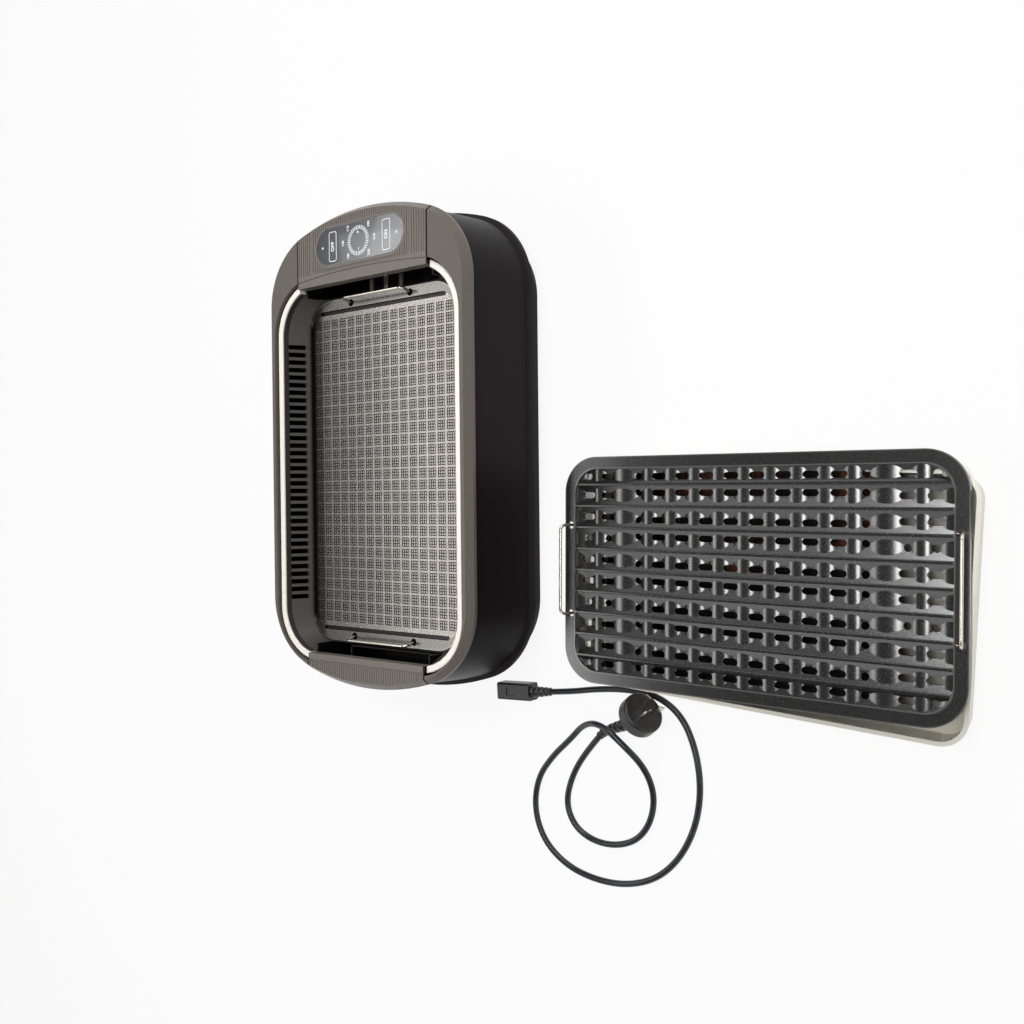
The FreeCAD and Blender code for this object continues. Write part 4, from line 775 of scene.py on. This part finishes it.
# Drip tray: one bright pressing of thin steel sheet with a rolled rim. Its floor under the plate is
# painted dark as painted shade, with copper-brown patches of painted reflection on the side of the
# panel.
TRAY_STEEL = rgb(236, 233, 219)
PAINTED_SHADE_AND_REFLECTION_TINTS = [(0.42, rgb(40, 38, 40)), (0.53, rgb(56, 46, 42)), (0.61, rgb(150, 90, 60)),
              (0.72, rgb(128, 84, 66))]
COPPER_FROM_X = -0.142
COPPER_BLEND = 0.06
COPPER_HELD_BACK = 0.2              # keeps the half away from the panel below the copper tints
TRAY_TURN = math.radians(86.6)
TRAY_BRUSHING = (70.0, 1900.0, 300.0)
TRAY_FLOOR_BELOW = 0.0035
TRAY_FLOOR_BLEND = 0.004
TRAY_NEAR_END = -0.535
NEAR_END_BLEND = 0.03
UNDER_PLATE_FROM = 0.006
UNDER_PLATE_BLEND = 0.008
steel = Finish("tray_steel")
brush = steel.noise(1.0, detail=3.0, roughness=0.6, at=steel.place(TRAY_BRUSHING, TRAY_TURN))
tint_cloud = steel.noise(17.0, detail=4.0, roughness=0.65)
x, y, z = steel.axes()
away_from_panel = 1.0 - x.above(COPPER_FROM_X, COPPER_BLEND)
on_floor = 1.0 - z.above(TRAY_FLOOR_BELOW, TRAY_FLOOR_BLEND)
within_spare = steel.inside_edge(SPARE_MIDDLE, plate_half, PLATE_CORNER, SPARE_TURN)
under_plate = within_spare.above(UNDER_PLATE_FROM, UNDER_PLATE_BLEND)
# Painted shade: the floor under the plate is painted dark, with copper patches of painted
# reflection.
heat = y.above(TRAY_NEAR_END, NEAR_END_BLEND) * on_floor * under_plate
tint = steel.node("ShaderNodeValToRGB", {"stops": PAINTED_SHADE_AND_REFLECTION_TINTS},
                  {0: tint_cloud - away_from_panel * COPPER_HELD_BACK})
dress(steel.surface(Base_Color=steel.mix(heat, TRAY_STEEL, tint), Metallic=0.5,
                    Roughness=0.33 + brush * 0.1,
                    Normal=steel.bump(brush, distance=0.00001, strength=0.25)), "drip_tray")

# Mains lead: one soft rubber-jacketed lead, laid loose on the table in two open loops, from the
# connector to the plug, and over the plug's strain relief in a low hump. The plug and connector
# are moulded from the same rubber, each with a tapered, ribbed strain relief.
JACKET_BLACK = rgb(30, 31, 35)
JACKET_DUST = rgb(48, 50, 57)
RUBBER_BLACK = rgb(30, 29, 29)
RUBBER_DUST = rgb(46, 45, 45)
LEAD_RADIUS = 0.0033
LEAD_ROUTE_MM = [
    (-267.0, -160.0, 6.0), (-264.5, -185.0, 3.6), (-258.5, -217.0, 3.4), (-255.0, -252.0, 3.4),
    (-257.0, -289.0, 3.4), (-275.0, -317.5, 3.4), (-308.0, -332.5, 3.4), (-346.0, -337.5, 3.4),
    (-384.0, -331.0, 3.4), (-419.0, -313.0, 3.4), (-445.0, -286.0, 3.4), (-459.0, -250.0, 3.4),
    (-461.0, -211.0, 3.4), (-453.0, -175.0, 3.4), (-432.0, -146.5, 3.4), (-399.0, -134.0, 3.4),
    (-364.0, -139.5, 3.4), (-337.0, -160.0, 3.4), (-316.5, -182.5, 3.4), (-295.0, -205.0, 9.0),
    (-290.0, -234.5, 23.0), (-307.0, -259.5, 23.0), (-331.0, -277.0, 9.0), (-358.0, -285.5, 3.4),
    (-386.0, -281.5, 3.4), (-408.5, -266.0, 3.4), (-420.0, -240.0, 3.4), (-420.5, -211.5, 3.4),
    (-409.5, -187.5, 3.4), (-386.0, -176.5, 3.4), (-357.0, -184.0, 3.4), (-329.0, -201.0, 3.4),
    (-307.0, -221.5, 4.7),
]
RELIEF_STEPS_PER_RIB = 8
RELIEF_SIDES = 28
RELIEF_GROOVE = 0.17                # depth of a groove as a share of the relief's radius
PLUG_RELIEF_MM = [(-281.2, -272.73, 19.24), (-290.23, -260.7, 13.77),
                  (-296.77, -231.03, 5.3), (-307.0, -221.5, 4.7)]
PLUG_RELIEF_RADII_MM = (7.5, 4.4)
CONNECTOR_RELIEF_MM = [(-268.68, -137.97, 9.0), (-268.29, -145.39, 9.0),
                       (-267.74, -152.64, 6.7), (-267.0, -160.0, 6.0)]
CONNECTOR_RELIEF_RADII_MM = (6.8, 4.4)


def rubber_finish(name, dark, pale, roughness):
    """Dark rubber, paler and duller in soft patches of dust, over a fine grain."""
    finish = Finish(name)
    grain = finish.noise(2600.0, detail=3.0)
    dust = finish.noise(55.0, detail=4.0, roughness=0.6)
    colour = finish.mix(dust.above(0.55, blend=0.3), dark, pale)
    return finish.surface(Base_Color=colour, Roughness=roughness + dust * 0.12,
                          Normal=finish.bump(grain, distance=0.00006, strength=0.5))


def ribbed_relief(name, route, radii, ribs, node):
    """Circles square to the smooth cubic curve that the route's four points draw. The radius runs
    from one end value to the other, less a rounded groove between each two ribs."""
    steps = ribs * RELIEF_STEPS_PER_RIB
    t = np.linspace(0.0, 1.0, steps + 1)[:, None]
    start, first, second, end = np.array(route) / 1000.0
    path = (start * (1 - t) ** 3 + first * 3 * t * (1 - t) ** 2
            + second * 3 * t * t * (1 - t) + end * t ** 3)
    along = np.gradient(path, axis=0)
    along /= np.linalg.norm(along, axis=1)[:, None]
    aside = np.cross(along, (0.0, 0.0, 1.0))
    aside /= np.linalg.norm(aside, axis=1)[:, None]
    over = np.cross(aside, along)
    taper = (radii[0] + (radii[1] - radii[0]) * t[:, 0]) / 1000.0
    groove = (0.5 - 0.5 * np.cos(2 * np.pi * ribs * t[:, 0])) ** 3
    radius = taper * (1.0 - RELIEF_GROOVE * groove)
    angle = np.arange(RELIEF_SIDES)[None, :, None] * 2 * np.pi / RELIEF_SIDES
    ring = np.cos(angle) * aside[:, None] + np.sin(angle) * over[:, None]
    points = (path[:, None] + radius[:, None, None] * ring).reshape(-1, 3)
    last = steps * RELIEF_SIDES
    ends = [list(range(RELIEF_SIDES))[::-1], list(range(last, last + RELIEF_SIDES))]
    faces = grid_faces(steps + 1, RELIEF_SIDES) + ends
    relief = piece_of(name, points, faces, moulded_rubber, "root")
    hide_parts(node)
    return relief


def mains_lead():
    """A round section carried along a smooth curve that the route's points draw towards them."""
    curve = bpy.data.curves.new("mains_lead", "CURVE")
    curve.dimensions = "3D"
    curve.bevel_depth = LEAD_RADIUS
    curve.bevel_resolution = 5
    curve.resolution_u = 10
    curve.use_fill_caps = True
    spline = curve.splines.new("NURBS")
    spline.points.add(len(LEAD_ROUTE_MM) - 1)
    for point, (x, y, z) in zip(spline.points, LEAD_ROUTE_MM):
        point.co = (x / 1000, y / 1000, z / 1000, 1.0)
    spline.order_u = 3
    spline.use_endpoint_u = True
    lead = bpy.data.objects.new("mains_lead", curve)
    bpy.context.scene.collection.objects.link(lead)
    curve.materials.append(lead_jacket)
    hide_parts("power_cord")
    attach(lead, "root")


lead_jacket = rubber_finish("lead_jacket", JACKET_BLACK, JACKET_DUST, 0.22)
moulded_rubber = rubber_finish("moulded_rubber", RUBBER_BLACK, RUBBER_DUST, 0.28)
plug_relief = ribbed_relief("plug_relief", PLUG_RELIEF_MM, PLUG_RELIEF_RADII_MM, 8, "plug_boot")
connector_relief = ribbed_relief("connector_relief", CONNECTOR_RELIEF_MM, CONNECTOR_RELIEF_RADII_MM,
                                 4, "connector_boot")
mains_lead()
dress(moulded_rubber, "plug_body", "cord_connector")
